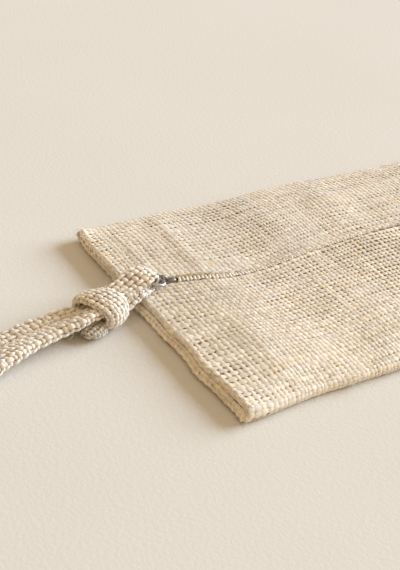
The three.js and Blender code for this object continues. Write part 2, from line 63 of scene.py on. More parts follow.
ROLL_TOP = dict(d=3.6, h=4.45, r=1.5, a0=235.4, a1=90.0)
ROLL_LOW = dict(d=1.7, h=1.7, r=1.7, a0=55.4, a1=270.0)
CORNER = dict(inset=2.8, fade=3.2)
DRAWN = dict(back=2.8, front=0.5, along=7.0, fade=16.0)
PLAN = np.array([   # x, front fold, back fold, rise of the crown
    [0, -4.8, 125.6, 2.0], [9, -3.9, 125.4, 2.5], [20, -2.6, 125.6, 3.0], [34, -1.7, 126.0, 3.3],
    [46, -1.8, 126.2, 3.2], [60, -2.0, 125.2, 3.1], [72, -1.6, 124.8, 3.3], [90, -1.2, 126.2, 3.6],
    [108, -1.0, 127.0, 3.9], [126, -1.0, 125.6, 3.9], [150, -1.1, 125.2, 3.8], [180, -0.9, 125.0, 3.5],
    [205, -1.0, 125.2, 3.0], [216, -1.6, 125.8, 2.6], [225, -2.4, 126.4, 2.0]])
CREASES = np.array([   # where it runs at the front, middle and back, half width, height, from y, to y
    [15, 15, 15, 2.4, 0.26, 84, 128], [22, 31, 36, 2.4, 0.30, 72, 135], [22, 31, 36, 6.0, 0.24, -10, 135],
    [54, 50, 58, 9.0, -0.33, -10, 135], [200, 196, 202, 6.0, 0.4, -10, 135], [178, 170, 176, 9.0, -0.35, -10, 135]])
DENTS = np.array([   # x, y, half sizes, height
    [76, 98, 12, 12, 0.7], [93, 80, 10, 8, -0.6], [112, 104, 9, 9, 0.7], [120, 90, 9, 7, -0.6],
    [30, 24, 12, 14, 0.5], [80, 22, 14, 12, 0.6], [110, 40, 16, 12, -0.5], [145, 34, 14, 14, 0.6],
    [160, 96, 14, 12, -0.5]])
ZIP = np.array([   # x, y, gap between the two edges
    [9, 77.0, 2.8], [15, 75.7, 3.2], [22, 73.6, 3.1], [28, 71.3, 2.6], [36, 68.6, 2.2], [44, 67.6, 1.8],
    [52, 67.6, 1.3], [60, 67.9, 1.0], [72, 69.2, 0.9], [85, 70.6, 0.9], [100, 71.8, 0.9], [120, 72.2, 0.9],
    [150, 71.4, 0.9], [180, 70.2, 0.9], [217, 69.2, 0.9]])
SLOT = (11.0, 216.5)
HEMS = [(1.9, 1.3, 0.5), (-1.8, 1.3, 0.25)]   # offset from the zip, half width, height
CHAIN = {"from": 15.2, "to": 215.0, "tape": 10.5, "thick": 0.55, "coil": 3.4, "high": 0.6, "under": 0.62, "dip": 0.8}
BEAD = {"from": 22.2, "fade": 44.0, "to": 54.0, "side": 0.36, "below": 0.7, "least": 0.25}
SLIDER = dict(x=16.2, long=9.0, wide=5.6, low0=2.05, low1=2.6, top0=4.6, top1=5.15, dome_long=8.8, dome_wide=2.4,
              dome_high=2.1, bridge_wide=1.6, bridge_u0=-3.9, hole_u0=-3.15, hole_u1=-0.6, bridge_u1=0.2,
              hole_z0=6.95, hole_z1=9.1, bridge_z=9.8)
RING = dict(x=11.1, y=75.4, z=8.7, rx=3.3, ry=4.2, wire=0.6, square=2.7, tilt=-14.0, turn=-12.0)
LOOP = np.array([   # middle of the strip, width, thickness, roll in degrees
    [-15.0, 67.6, 4.8, 10.0, 2.4, 0], [-9.0, 69.4, 4.9, 10.4, 2.4, 3], [-4.0, 70.9, 6.8, 10.8, 2.3, 3],
    [0.5, 72.1, 7.9, 10.6, 2.2, 1], [5.0, 73.3, 7.7, 9.0, 2.0, 0], [8.0, 74.3, 7.5, 6.2, 1.65, 0],
    [9.9, 75.0, 8.2, 4.9, 1.55, 0], [10.5, 75.3, 9.7, 4.9, 1.55, 0], [9.9, 75.4, 11.4, 6.4, 1.9, 0],
    [7.7, 75.2, 12.6, 9.0, 2.4, -3], [4.2, 74.5, 12.4, 10.8, 2.5, -6], [0.2, 73.5, 11.3, 11.0, 2.5, -8],
    [-4.6, 72.1, 9.9, 10.8, 2.5, -8], [-9.5, 70.5, 9.0, 10.4, 2.4, -5], [-15.0, 68.8, 8.2, 10.0, 2.4, 0]])
LOOP_SIDE = (-0.29, 0.957, 0.0)
TAIL_FRONT = np.array([
    [-15.0, 67.4, 7.0, 10.0, 4.0, 10], [-21.5, 67.0, 6.6, 11.0, 4.2, 24], [-28.0, 66.0, 5.6, 11.6, 4.4, 24],
    [-36.0, 64.6, 4.8, 11.8, 4.6, 22], [-45.0, 62.8, 4.3, 11.8, 4.6, 20], [-54.0, 60.2, 4.1, 11.8, 4.6, 18],
    [-62.0, 57.3, 3.8, 11.8, 4.6, 14], [-73.6, 52.6, 2.9, 11.6, 4.6, 6]])
TAIL_BACK = np.array([
    [-15.0, 68.6, 6.0, 10.0, 2.8, 0], [-21.0, 70.0, 5.4, 10.8, 2.8, 0], [-28.0, 71.2, 4.5, 11.2, 2.8, 0],
    [-36.0, 71.4, 3.3, 11.4, 2.8, 0], [-45.0, 70.2, 2.2, 11.4, 2.8, 0], [-54.0, 68.4, 1.6, 11.4, 2.8, 0],
    [-62.0, 66.0, 1.5, 11.4, 2.8, 0], [-68.0, 64.0, 1.5, 11.2, 2.8, 0]])
KNOT_AT, KNOT_AXIS = (-16.0, 66.0), (-0.93, -0.37)
KNOT = np.array([   # distance along the axis, half width, half height, height of the middle, sideways shift
    [-9.6, 3.5, 2.8, 7.0, 0.6], [-8.0, 6.5, 5.2, 6.8, 0.8], [-5.0, 8.2, 6.3, 6.6, 1.2], [-1.5, 9.4, 6.5, 6.5, 2.0],
    [1.5, 9.4, 5.8, 6.6, 2.8], [3.8, 7.5, 4.6, 6.6, 3.4], [5.0, 4.0, 2.4, 6.6, 3.6]])
TUCK = dict(x=-20.8, y=62.6, z=3.2, rx=5.6, ry=4.4, rz=3.2, turn=20.0)


# ------------------------------------------------------------------ small tools
def world(p):
    return (np.asarray(p, float) - ORIGIN) * 0.001


def hermite(at, of, t):
    """Smooth reading of a column along a rising parameter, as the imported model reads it."""
    at, of, t = np.asarray(at, float), np.asarray(of, float), np.clip(np.asarray(t, float), at[0], at[-1])
    m = np.gradient(of, at)
    i = np.clip(np.searchsorted(at, t, side="right") - 1, 0, len(at) - 2)
    w = at[i + 1] - at[i]
    s = (t - at[i]) / w
    s2, s3 = s * s, s * s * s
    return ((2 * s3 - 3 * s2 + 1) * of[i] + (s3 - 2 * s2 + s) * w * m[i] + (-2 * s3 + 3 * s2) * of[i + 1]
            + (s3 - s2) * w * m[i + 1])


def unit(v):
    return v / np.maximum(np.linalg.norm(v, axis=-1, keepdims=True), 1e-12)


def sigmoid(v):
    return 1.0 / (1.0 + np.exp(-v))


def ramp(v, a, b):
    t = np.clip((v - a) / (b - a), 0, 1)
    return t * t * (3 - 2 * t)


def mix(a, b, t):
    return a + (b - a) * t


def soft_noise(rng, shape, sigmas, wrap=()):
    """Noise of unit spread, smoothed by a bell of the given width along each axis."""
    v = rng.standard_normal(shape)
    for axis, sigma in enumerate(sigmas):
        if sigma <= 0:
            continue
        r = max(1, int(3 * sigma))
        k = np.exp(-0.5 * (np.arange(-r, r + 1) / sigma) ** 2)
        k /= math.sqrt((k ** 2).sum())
        pad = [(0, 0)] * v.ndim
        pad[axis] = (r, r)
        big = np.pad(v, pad, mode="wrap" if axis in wrap else "reflect" if v.shape[axis] > r else "symmetric")
        v = np.apply_along_axis(lambda row: np.convolve(row, k, mode="valid"), axis, big)
    return v / max(v.std(), 1e-9)


def catmull(table, t, wrap=False):
    """Rows of a table (..., n) read at t, with a curve through every entry."""
    n = table.shape[-1]
    i = np.floor(t).astype(int)
    s = t - i

    def at(k):
        if wrap:
            return table[..., np.mod(k, n)] + np.floor_divide(k, n) * wrap
        kk = np.clip(k, 0, n - 1)
        over = (k - kk)
        edge = np.where(over < 0, table[..., [1]] - table[..., [0]], table[..., [-1]] - table[..., [-2]])
        return table[..., kk] + over * edge
    p0, p1, p2, p3 = at(i - 1), at(i), at(i + 1), at(i + 2)
    return 0.5 * (2 * p1 + (p2 - p0) * s + (2 * p0 - 5 * p1 + 4 * p2 - p3) * s * s + (3 * p1 - p0 - 3 * p2 + p3) * s ** 3)


# ------------------------------------------------------------------ mesh building
def new_mesh(name, verts, faces, uv=None, color=None, smooth=True):
    """A mesh object from arrays; faces is (n, 3) or (n, 4); uv and color are given per vertex."""
    verts, faces = np.asarray(verts, np.float32).reshape(-1, 3), np.asarray(faces, np.int32)
    me = bpy.data.meshes.new(name)
    k, n = faces.shape[1], len(faces)
    me.vertices.add(len(verts))
    me.vertices.foreach_set("co", verts.ravel())
    me.loops.add(n * k)
    me.loops.foreach_set("vertex_index", faces.ravel())
    me.polygons.add(n)
    me.polygons.foreach_set("loop_start", np.arange(0, n * k, k, dtype=np.int32))
    me.polygons.foreach_set("loop_total", np.full(n, k, dtype=np.int32))
    me.update(calc_edges=True)
    me.polygons.foreach_set("use_smooth", np.full(n, smooth))
    if uv is not None:
        layer = me.uv_layers.new(name="fibre")
        layer.data.foreach_set("uv", np.asarray(uv, np.float32).reshape(-1, 2)[faces.ravel()].ravel())
    if color is not None:
        a = me.color_attributes.new("tint", "FLOAT_COLOR", "POINT")
        c = np.ones((len(verts), 4), np.float32)
        c[:, :3] = np.asarray(color, np.float32).reshape(-1, 3)
        a.data.foreach_set("color", c.ravel())
    me.validate()
    o = bpy.data.objects.new(name, me)
    bpy.context.scene.collection.objects.link(o)
    return o


class Bundle:
    """Yarn surfaces that are joined to one mesh."""

    def __init__(self):
        self.v, self.f, self.uv, self.c, self.n = [], [], [], [], 0

    def add(self, v, f, uv, c):
        self.v.append(v.reshape(-1, 3)); self.uv.append(uv.reshape(-1, 2)); self.c.append(c.reshape(-1, 3))
        self.f.append(f.reshape(-1, 4) + self.n)
        self.n += len(self.v[-1])

    def object(self, name):
        return new_mesh(name, world(np.concatenate(self.v)), np.concatenate(self.f), np.concatenate(self.uv),
                        np.concatenate(self.c))


FLAT = np.array([[-0.98, 0.02], [-0.64, 0.82], [0.0, 1.0], [0.64, 0.82], [0.98, 0.02]])      # a pressed yarn's section
FLAT3 = np.array([[-0.98, 0.0], [0.0, 1.0], [0.98, 0.0]])
WIDE = np.array([[-0.66, -0.74], [-0.98, -0.05], [-0.66, 0.74], [0.0, 1.0], [0.66, 0.74], [0.98, -0.05], [0.66, -0.74]])
ROUND = np.array([[-0.96, -0.20], [-0.74, 0.62], [0.0, 1.0], [0.74, 0.62], [0.96, -0.20]])


def sweep(bundle, P, N, half_w, half_h, color, u, section=ROUND, loop=False, floor=None, side_painted_shade=0.86, bend=None):
    """Yarns along the paths P (yarn, step, 3), their outer side towards N. Open sides face the cloth's inside.
    bend wraps a yarn's width round the fold that it runs along."""
    ring = len(section)
    if loop:
        T = np.roll(P, -1, 1) - np.roll(P, 1, 1)
    else:
        T = np.gradient(P, axis=1)
    T = unit(T)
    A = unit(np.cross(N, T))
    M = np.cross(T, A)
    V = (P[:, :, None] + A[:, :, None] * (half_w[..., None] * section[:, 0])[..., None]
         + M[:, :, None] * (half_h[..., None] * section[:, 1])[..., None])
    if bend is not None:
        V = V - M[:, :, None] * ((half_w[..., None] * section[:, 0]) ** 2 * bend[..., None])[..., None]
    if floor is not None:
        V[..., 2] = np.maximum(V[..., 2], floor)
    ny, ns = P.shape[:2]
    idx = np.arange(ny * ns * ring).reshape(ny, ns, ring)
    a0, b0 = (idx, np.roll(idx, -1, 1)) if loop else (idx[:, :-1], idx[:, 1:])
    F = np.stack([a0[..., :-1], a0[..., 1:], b0[..., 1:], b0[..., :-1]], -1)
    # painted shade: each yarn's colour is darkened towards its sides, where shade falls between the yarns
    side = 1 - (1 - side_painted_shade) * np.clip((np.abs(section[:, 0]) - 0.5) / 0.46, 0, 1)
    C = color[:, :, None, :] * side[None, None, :, None]
    UV = np.stack(np.broadcast_arrays(u[..., None], (half_w[..., None] * section[:, 0] * 1.3)), -1)
    bundle.add(V, F, UV, C)
    return V


# ------------------------------------------------------------------ linen: yarn colours and sizes
CREAM, GOLD, GREY = np.array([0.86, 0.765, 0.62]), np.array([0.80, 0.655, 0.43]), np.array([0.74, 0.69, 0.60])
ORANGE, BROWN = np.array([0.84, 0.56, 0.20]), np.array([0.36, 0.26, 0.16])


def yarn_looks(rng, yarns, steps, per, grey=0.0, fleck=1.0):
    """Colour (yarn, step, 3) and thickness factor (yarn, step) of a set of yarns; per = steps in each crossing."""
    tone = 0.025 * rng.standard_normal((yarns, 1)) + 0.045 * soft_noise(rng, (yarns, steps), (0, 1.6 * per)) \
        + 0.035 * soft_noise(rng, (yarns, steps), (0, 0.45 * per))
    gold = np.clip(0.24 + 0.12 * rng.standard_normal((yarns, 1)) + 0.22 * soft_noise(rng, (yarns, steps), (0, 2.2 * per)), 0, 1)
    dull = np.clip(grey + 0.04 + 0.07 * rng.standard_normal((yarns, 1)) + 0.10 * soft_noise(rng, (yarns, steps), (0, 3.0 * per)), 0, 1)
    c = mix(CREAM, GOLD, gold[..., None])
    c = mix(c, GREY, dull[..., None])
    c = c * (1 + tone)[..., None]
    thick = 1 + 0.07 * rng.standard_normal((yarns, 1)) + 0.08 * soft_noise(rng, (yarns, steps), (0, 2.5 * per))
    # slubs: longer, thicker and paler stretches; flecks: short stretches of straw
    n = max(1, int(fleck * yarns * steps / per / 260))
    k = np.arange(steps)
    for _ in range(n):
        y, s, w = rng.integers(yarns), rng.integers(steps), per * rng.uniform(0.8, 2.4)
        b = np.exp(-((k - s) / w) ** 2)
        thick[y] += 0.34 * b
        c[y] *= 1 + 0.10 * b[:, None]
    for _ in range(n):
        y, s, w = rng.integers(yarns), rng.integers(steps), per * rng.uniform(0.25, 0.9)
        b = np.exp(-((k - s) / w) ** 2)[:, None]
        c[y] = mix(c[y], ORANGE if rng.random() < 0.6 else BROWN, b * rng.uniform(0.25, 0.7))
    return np.clip(c, 0.03, 0.95), np.clip(thick, 0.72, 1.45)


# ------------------------------------------------------------------ the pouch's outer face
def front_y(x): return hermite(PLAN[:, 0], PLAN[:, 1], x)
def back_y(x): return hermite(PLAN[:, 0], PLAN[:, 2], x)
def zip_y(x): return hermite(ZIP[:, 0], ZIP[:, 1], x)
def zip_gap(x): return hermite(ZIP[:, 0], ZIP[:, 2], x)


def edge_height(x):
    e = np.maximum(0, np.minimum(x, LENGTH - x) - ROLL_TOP["d"])
    return 2 * FOLD_R + (ROLL_TOP["h"] + ROLL_TOP["r"] - 2 * FOLD_R) * np.exp(-e / 6)


def top_height(x, y, hems=True):
    y0, y1 = front_y(x), back_y(x)
    u = np.maximum(0, np.minimum(y - y0, y1 - y) - FOLD_R)
    e = np.maximum(0, np.minimum(x, LENGTH - x) - ROLL_TOP["d"])
    fade = (1 - np.exp(-u / 6)) * (1 - np.exp(-e / 5))
    v = (y - y0) / (y1 - y0)
    z = edge_height(x) + hermite(PLAN[:, 0], PLAN[:, 3], x) * (1 - np.exp(-u / 13)) * (1 - np.exp(-e / 9))
    for f, m, b, half, height, a0, a1 in CREASES:
        at = np.where(v < 0.5, mix(f, m, v * 2), mix(m, b, v * 2 - 1))
        z = z + height * np.exp(-((x - at) / half) ** 2) * sigmoid((y - a0) / 4) * sigmoid((a1 - y) / 4) * fade
    for dx, dy, rx, ry, height in DENTS:
        z = z + height * np.exp(-((x - dx) / rx) ** 2 - ((y - dy) / ry) ** 2) * fade
    if hems:
        on, off = sigmoid((x - 24) / 2) * sigmoid((214 - x) / 2), y - zip_y(x)
        for offset, half, height in HEMS:
            z = z + on * height * np.exp(-((off - offset) / half) ** 2)
    return z


NE, END_E = 117.0, 2.6                          # yarn pitches along the pouch, and in each end roll
PITCH = (LENGTH - 7.2) / (NE - 2 * END_E)       # 1.95 mm
G = np.cumsum([0, 1.3, 35.5, 4.0, 63.0, 4.0, 26.0, 1.3])   # lip, front panel, fold, underside, fold, back panel, lip
LIP_R, LIP_DEEP = 0.6, 0.7


def shown_gap(x):
    inside = ramp(x, SLOT[0], SLOT[0] + 1.5) * (1 - ramp(x, SLOT[1] - 1.5, SLOT[1]))
    g = np.interp(zip_gap(x), [0.9, 1.3, 1.8, 3.2], [0.75, 1.15, 1.8, 3.1])
    g = mix(g, 0.34, ramp(x, 95, 140))
    return mix(0.25, g, inside)


def smooth_pouch(e, g):
    """The pouch's outer face at e pitches along and g pitches round from the front edge of the zip."""
    e, g = np.broadcast_arrays(np.asarray(e, float), np.asarray(g, float))
    flip = e > NE / 2
    ee = np.where(flip, NE - e, e)
    f = np.clip(ee / END_E, 0, 1)
    roll = ee < END_E
    x_in = 3.6 + np.maximum(ee - END_E, 0) * PITCH
    at, al = np.radians(mix(ROLL_TOP["a0"], ROLL_TOP["a1"], f)), np.radians(mix(ROLL_LOW["a0"], ROLL_LOW["a1"], f))
    x_top = np.where(roll, ROLL_TOP["d"] + ROLL_TOP["r"] * np.cos(at), x_in)
    x_low = np.where(roll, ROLL_LOW["d"] + ROLL_LOW["r"] * np.cos(al), np.where(x_in < 9.5, np.interp(x_in, [3.6, 6, 9.5], [1.7, 4.925, 9.5]), x_in))
    z_roll = ROLL_TOP["h"] + ROLL_TOP["r"] * np.sin(at)
    z_low = np.where(roll, ROLL_LOW["h"] + ROLL_LOW["r"] * np.sin(al), 0.0)
    mid = np.where(roll, mix(3.16, FOLD_R, f), FOLD_R)
    inset = CORNER["inset"] * np.where(roll, np.exp(-f * 5 / CORNER["fade"]), math.exp(-5 / CORNER["fade"]) * np.exp(-(x_in - 3.6) / CORNER["fade"]))
    x_top, x_low = np.where(flip, LENGTH - x_top, x_top), np.where(flip, LENGTH - x_low, x_low)
    x_mid = (x_top + x_low) / 2
    y0, y1 = front_y(x_mid) + inset, back_y(x_mid) - inset
    zy, half = zip_y(np.clip(x_top, 9, 217)), shown_gap(x_top) / 2
    yf, yb = zy - half - LIP_R, zy + half + LIP_R          # where the edges begin to turn down
    k = np.clip(np.searchsorted(G, g, side="right") - 1, 0, 6)
    t = (g - G[k]) / (G[k + 1] - G[k])
    # flat stretches
    y_top = np.where(k <= 1, mix(yf, y0 + FOLD_R, np.where(k == 1, t, 0)), mix(y1 - FOLD_R, yb, np.where(k == 5, t, 1)))
    z_top = np.where(roll, z_roll, top_height(np.where(roll, 3.6, x_top), y_top))
    y_low = mix(y0 + FOLD_R, y1 - FOLD_R, np.where(k == 3, t, 0))
    # folds
    a = np.where(k == 2, mix(math.pi / 2, -math.pi / 2, t), mix(-math.pi / 2, math.pi / 2, t))
    q = np.sin(a)
    z_edge = np.where(roll, z_roll, edge_height(x_top))
    y_fold = np.where(k == 2, y0 + FOLD_R * (1 - np.cos(a)), y1 - FOLD_R * (1 - np.cos(a)))
    z_fold = np.where(q >= 0, mix(mid, z_edge, q), mix(mid, z_low, -q))
    x_fold = np.where(q >= 0, mix(x_mid, x_top, q), mix(x_mid, x_low, -q))
    # edges at the zip
    deep = LIP_DEEP * ramp(ee, 0.2, 3.0)
    s = np.where(k == 0, 1 - t, t) * (LIP_R * math.pi / 2 + deep)
    arc = np.minimum(s / LIP_R, math.pi / 2)
    down = LIP_R * (1 - np.cos(arc)) + np.maximum(s - LIP_R * math.pi / 2, 0)
    y_lip = np.where(k == 0, yf + LIP_R * np.sin(arc), yb - LIP_R * np.sin(arc))
    y = np.select([k == 3, (k == 2) | (k == 4), (k == 0) | (k == 6)], [y_low, y_fold, y_lip], y_top)
    # behind the strap the lower roll of the near end is tucked under the upper one
    under = 2.2 * ramp(y, 70, 92) * np.exp(-np.maximum(x_low - 1.7, 0) / 6) * np.where(flip, 0.0, 1.0)
    x_fold = x_fold + under * np.where(q < 0, -q, 0.0)
    x = np.select([k == 3, (k == 2) | (k == 4)], [x_low + under, x_fold], x_top)
    d = DRAWN["back"] * np.exp(-np.maximum(0, y1 - y) / DRAWN["along"]) + DRAWN["front"] * np.exp(-np.maximum(0, y - y0) / DRAWN["along"])
    x = x + d * (np.exp(-np.maximum(0, x_mid) / DRAWN["fade"]) - np.exp(-np.maximum(0, LENGTH - x_mid) / DRAWN["fade"]))
    z = np.select([k == 3, (k == 2) | (k == 4), (k == 0) | (k == 6)], [z_low, z_fold, z_top - down], z_top)
    return np.stack([x, y, z], -1)


def facing(S, e, g, h=0.02, e_lim=None, g_lim=None):
    """Point and outward direction of a surface."""
    e, g = np.broadcast_arrays(np.asarray(e, float), np.asarray(g, float))
    e0, e1, g0, g1 = e - h, e + h, g - h, g + h
    if e_lim:
        e0, e1 = np.clip(e0, *e_lim), np.clip(e1, *e_lim)
    if g_lim:
        g0, g1 = np.clip(g0, *g_lim), np.clip(g1, *g_lim)
    return S(e, g), unit(np.cross(S(e, g1) - S(e, g0), S(e1, g) - S(e0, g)))


_w = np.random.default_rng(9)
WAVE_AT = np.linspace(-12, 240, 64)
WAVE = [np.clip(soft_noise(_w, (64,), (s_,)), -2, 2) for s_ in (0.9, 0.9, 1.1, 1.3, 1.1, 1.3)]


def pouch(e, g):
    """The outer face with its ends and folds a little uneven, as sewn cloth is."""
    p = smooth_pouch(e, g)
    x, y, z = p[..., 0], p[..., 1], p[..., 2]
    near, far = np.exp(-np.maximum(x, 0) / 7), np.exp(-np.maximum(LENGTH - x, 0) / 7)
    front, back = np.exp(-np.maximum(y + 1.5, 0) / 6), np.exp(-np.maximum(125.5 - y, 0) / 6)
    r = [hermite(WAVE_AT, w_, v_) for w_, v_ in zip(WAVE, (y, y, y, x, x, x))]
    high = ramp(z, 1.0, 4.0)
    dx = 0.34 * (near * r[0] - far * r[1])
    dy = 0.26 * (front * r[3] - back * r[4])
    dz = high * (0.22 * near * r[2] + 0.16 * (front * r[4] + back * r[5]))
    return np.stack([x + dx, y + dy, np.maximum(z + dz, 0.0)], -1)


LIM = dict(e_lim=(0.0, NE), g_lim=(0.0, float(G[-1])))


def sunk(e, y):
    """How deep the yarns lie under the face, as a share: the seams at the ends are sewn tight and stay shallow."""
    ee = np.minimum(e, NE - e)
    back = ramp(y, 70, 84) * np.where(e < NE / 2, 1.0, 0.0)
    return mix(mix(0.42, -0.35, back), 1.0, ramp(ee, 0.0, mix(1.5, 1.9, back)))


# ------------------------------------------------------------------ the woven cloth
rng = np.random.default_rng(4117)
N_WEFT, N_WARP = 117, 134
# depth of the yarns' middle, its swing, half thickness, width at the floats and at the crossings
YARNS = {"weft": dict(mid=0.41, amp=0.10, half_h=0.17, crown=1.02, neck=0.75, power=0.9),
         "warp": dict(mid=0.35, amp=0.12, half_h=0.17, crown=1.12, neck=0.80, power=0.5)}


def spaced(rng, n, first, last, uneven=0.11):
    w = np.clip(1 + uneven * rng.standard_normal(n), 0.75, 1.3)
    c = np.cumsum((w[:-1] + w[1:]) / 2)
    return first + np.r_[0, c] / c[-1] * (last - first), w


e_weft, w_weft = spaced(rng, N_WEFT, 0.45, NE - 0.45)
g_warp, w_warp = spaced(rng, N_WARP, 0.75, G[-1] - 0.75)
# crossings (weft, warp): each yarn wanders a little, and neighbours wander partly together
E = e_weft[:, None] + 0.13 * soft_noise(rng, (N_WEFT, N_WARP), (0.6, 3)) + 0.55 * soft_noise(rng, (N_WEFT, N_WARP), (8, 12)) \
    * ramp(np.minimum(e_weft, NE - e_weft), 1, 8)[:, None]
GG = g_warp[None, :] + 0.13 * soft_noise(rng, (N_WEFT, N_WARP), (3, 0.6)) + 0.50 * soft_noise(rng, (N_WEFT, N_WARP), (12, 8)) \
    * ramp(np.minimum(g_warp, G[-1] - g_warp), 1, 8)[None, :]
SIGN = 1.0 - 2.0 * ((np.arange(N_WEFT)[:, None] + np.arange(N_WARP)[None, :]) % 2)
LOOSE = 1 + 0.28 * soft_noise(rng, (N_WEFT, N_WARP), (0.7, 0.7))       # how high each float stands


SPOTS = [   # x, y, radius, colour, strength: straw, pale slubs and a dark speck that show on the cloth
    [138.4, 88.8, 1.6, (0.84, 0.58, 0.24), 0.75], [21.3, 49.1, 0.9, (0.84, 0.60, 0.28), 0.7], [29.0, 89.4, 0.9, (0.30, 0.21, 0.13), 0.8],
    [36.5, 19.8, 1.4, (0.84, 0.66, 0.36), 0.55], [45.8, 2.5, 1.3, (0.95, 0.90, 0.80), 0.5], [2.4, 17.7, 1.3, (0.95, 0.90, 0.80), 0.55]]


def spotted(color, P):
    for x, y, r, tint, strength in SPOTS:
        d2 = (P[..., 0] - x) ** 2 + (P[..., 1] - y) ** 2
        color = mix(color, np.array(tint), (strength * np.exp(-d2 / (r * r)) * (P[..., 2] > 3))[..., None])
    return color


OPEN_W = np.clip(soft_noise(rng, (N_WEFT, N_WARP), (5, 5)), -1.5, 2.2)
for x_, y_, r_ in ((57, 77, 9), (51, 55, 8)):       # two thin places beside the zip
    c_ = smooth_pouch(E, GG)
    OPEN_W = OPEN_W + 1.6 * np.exp(-((c_[..., 0] - x_) ** 2 + (c_[..., 1] - y_) ** 2) / r_ ** 2) * (c_[..., 2] > 3)
FLOAT_W = np.clip(rng.standard_normal((N_WEFT, N_WARP)), -2, 2)       # each float's own brightness
FLOAT_P = np.clip(rng.standard_normal((N_WARP, N_WEFT)), -2, 2)


def swing(t, start_sign, power=0.7):
    """Height of a yarn at crossing number t: over and under, with rather flat floats."""
    c = np.cos(math.pi * t)
    return start_sign * np.sign(c) * np.abs(c) ** power


def weave(S, lim, E, GG, loose, sign0, which, lines, t, width, looks, mid, amp, half_h, crown, neck, power, pitch=PITCH, wrap=False):
    """Yarns of one direction. which: 'weft' follows the second index, 'warp' the first; lines picks the yarns,
    t is the list of crossing numbers to sample."""
    Ea, Ga, La = (E, GG, loose) if which == "weft" else (E.T, GG.T, loose.T)
    Ea, Ga, La = Ea[lines], Ga[lines], La[lines]
    e, g, lo = catmull(Ea, t, wrap=False), catmull(Ga, t, wrap=wrap), catmull(La, t)
    if lim.get("e_lim"):
        e = np.clip(e, *lim["e_lim"])
    if lim.get("g_lim"):
        g = np.clip(g, *lim["g_lim"])
    P, N = facing(S, e, g, **lim)
    s = np.where(which == "weft", 1.0, -1.0) * (1.0 - 2.0 * (np.asarray(lines) % 2))[:, None] * sign0
    h = swing(t[None, :], s, power) * amp * lo
    color, thick = looks
    up = np.clip((h / amp + 1) / 2, 0, 1)
    shallow = 1 - 0.45 * np.exp(-((g - 0.5 * (G[4] + G[5])) / 2.6) ** 2)
    P = P + N * (h * shallow - mid * sunk(e, P[..., 1]))[..., None]
    c = np.clip(np.cos(math.pi * t)[None, :] * s, 0, 1) ** 0.6          # floats spread over their neighbours
    # yarns spread or draw together with the room that they have
    if which == "weft":
        room = np.linalg.norm(S(np.minimum(e + 0.5, NE), g) - S(np.maximum(e - 0.5, 0), g), axis=-1) / (np.minimum(e + 0.5, NE) - np.maximum(e - 0.5, 0))
    else:
        room = np.linalg.norm(S(e, np.minimum(g + 0.5, G[-1])) - S(e, np.maximum(g - 0.5, 0)), axis=-1) / (np.minimum(g + 0.5, G[-1]) - np.maximum(g - 0.5, 0))
    hw = 0.5 * np.clip(room, 0.72 * pitch, 1.35 * pitch) * mix(neck, crown, c) * thick * width[lines][:, None]
    hh = half_h * (0.55 + 0.45 * thick) * mix(0.92, 1.0, c)
    hw = hw * (1 + 0.24 * np.exp(-np.minimum(e, NE - e) / 2.5))
    on_fold = np.exp(-((g - 0.5 * (G[2] + G[3])) / 2.6) ** 2) + np.exp(-((g - 0.5 * (G[4] + G[5])) / 2.6) ** 2)
    hw = hw * (1 + (0.26 if which == "weft" else -0.08) * on_fold)                          # pressed flat and close at the folds and the end seams
    hw = hw * (1 - 0.085 * catmull(OPEN_W if which == "weft" else OPEN_W.T, t)[lines])        # the weave is more open in places
    seam_pale_and_painted_light = 1 + 0.16 * np.exp(-np.minimum(e, NE - e) / 1.6)          # the seams at the ends are rubbed pale, and are also painted lighter as painted light on the shaded end faces
    color = spotted(color * seam_pale_and_painted_light[..., None], P)
    # painted shade: where a yarn dips under the crossing yarn its colour is darkened and browned
    col = color * mix(np.array([0.84, 0.78, 0.68]), 1.0, ramp(up, 0.15, 0.75)[..., None]) * (1 + 0.035 * catmull(FLOAT_W if which == "weft" else FLOAT_P, t)[lines])[..., None]
    u = np.cumsum(np.r_[0, np.diff(t)])[None, :] * pitch + 17.3 * np.asarray(lines)[:, None] + (300 if which == "warp" else 0)
    return P, N, hw, hh, col, u, (0.24 * on_fold if which == "warp" else None)


def looks_at(full, t, per, lines):
    """The part of a full set of yarn looks that belongs to crossings t."""
    c, th = full
    k = np.clip(np.round((t + 1) * per).astype(int), 0, c.shape[1] - 1)
    return c[lines][:, k], th[lines][:, k]


PER = 4
weft_looks = yarn_looks(rng, N_WEFT, (N_WARP + 2) * PER, PER)
warp_looks = yarn_looks(rng, N_WARP, (N_WEFT + 2) * PER, PER)
# broad patches of slightly different tone, as in washed linen
patch_w = 1 + 0.035 * soft_noise(rng, (N_WEFT, N_WARP), (9, 9)) + 0.03 * soft_noise(rng, (N_WEFT, N_WARP), (3, 3))


def patched(looks, t, lines, which):
    c, th = looks
    table_ = patch_w if which == "weft" else patch_w.T
    return c * catmull(table_[lines], t)[..., None], th


def cut(a, b, per):
    return np.linspace(a, b, int(round((b - a) * per)) + 1)


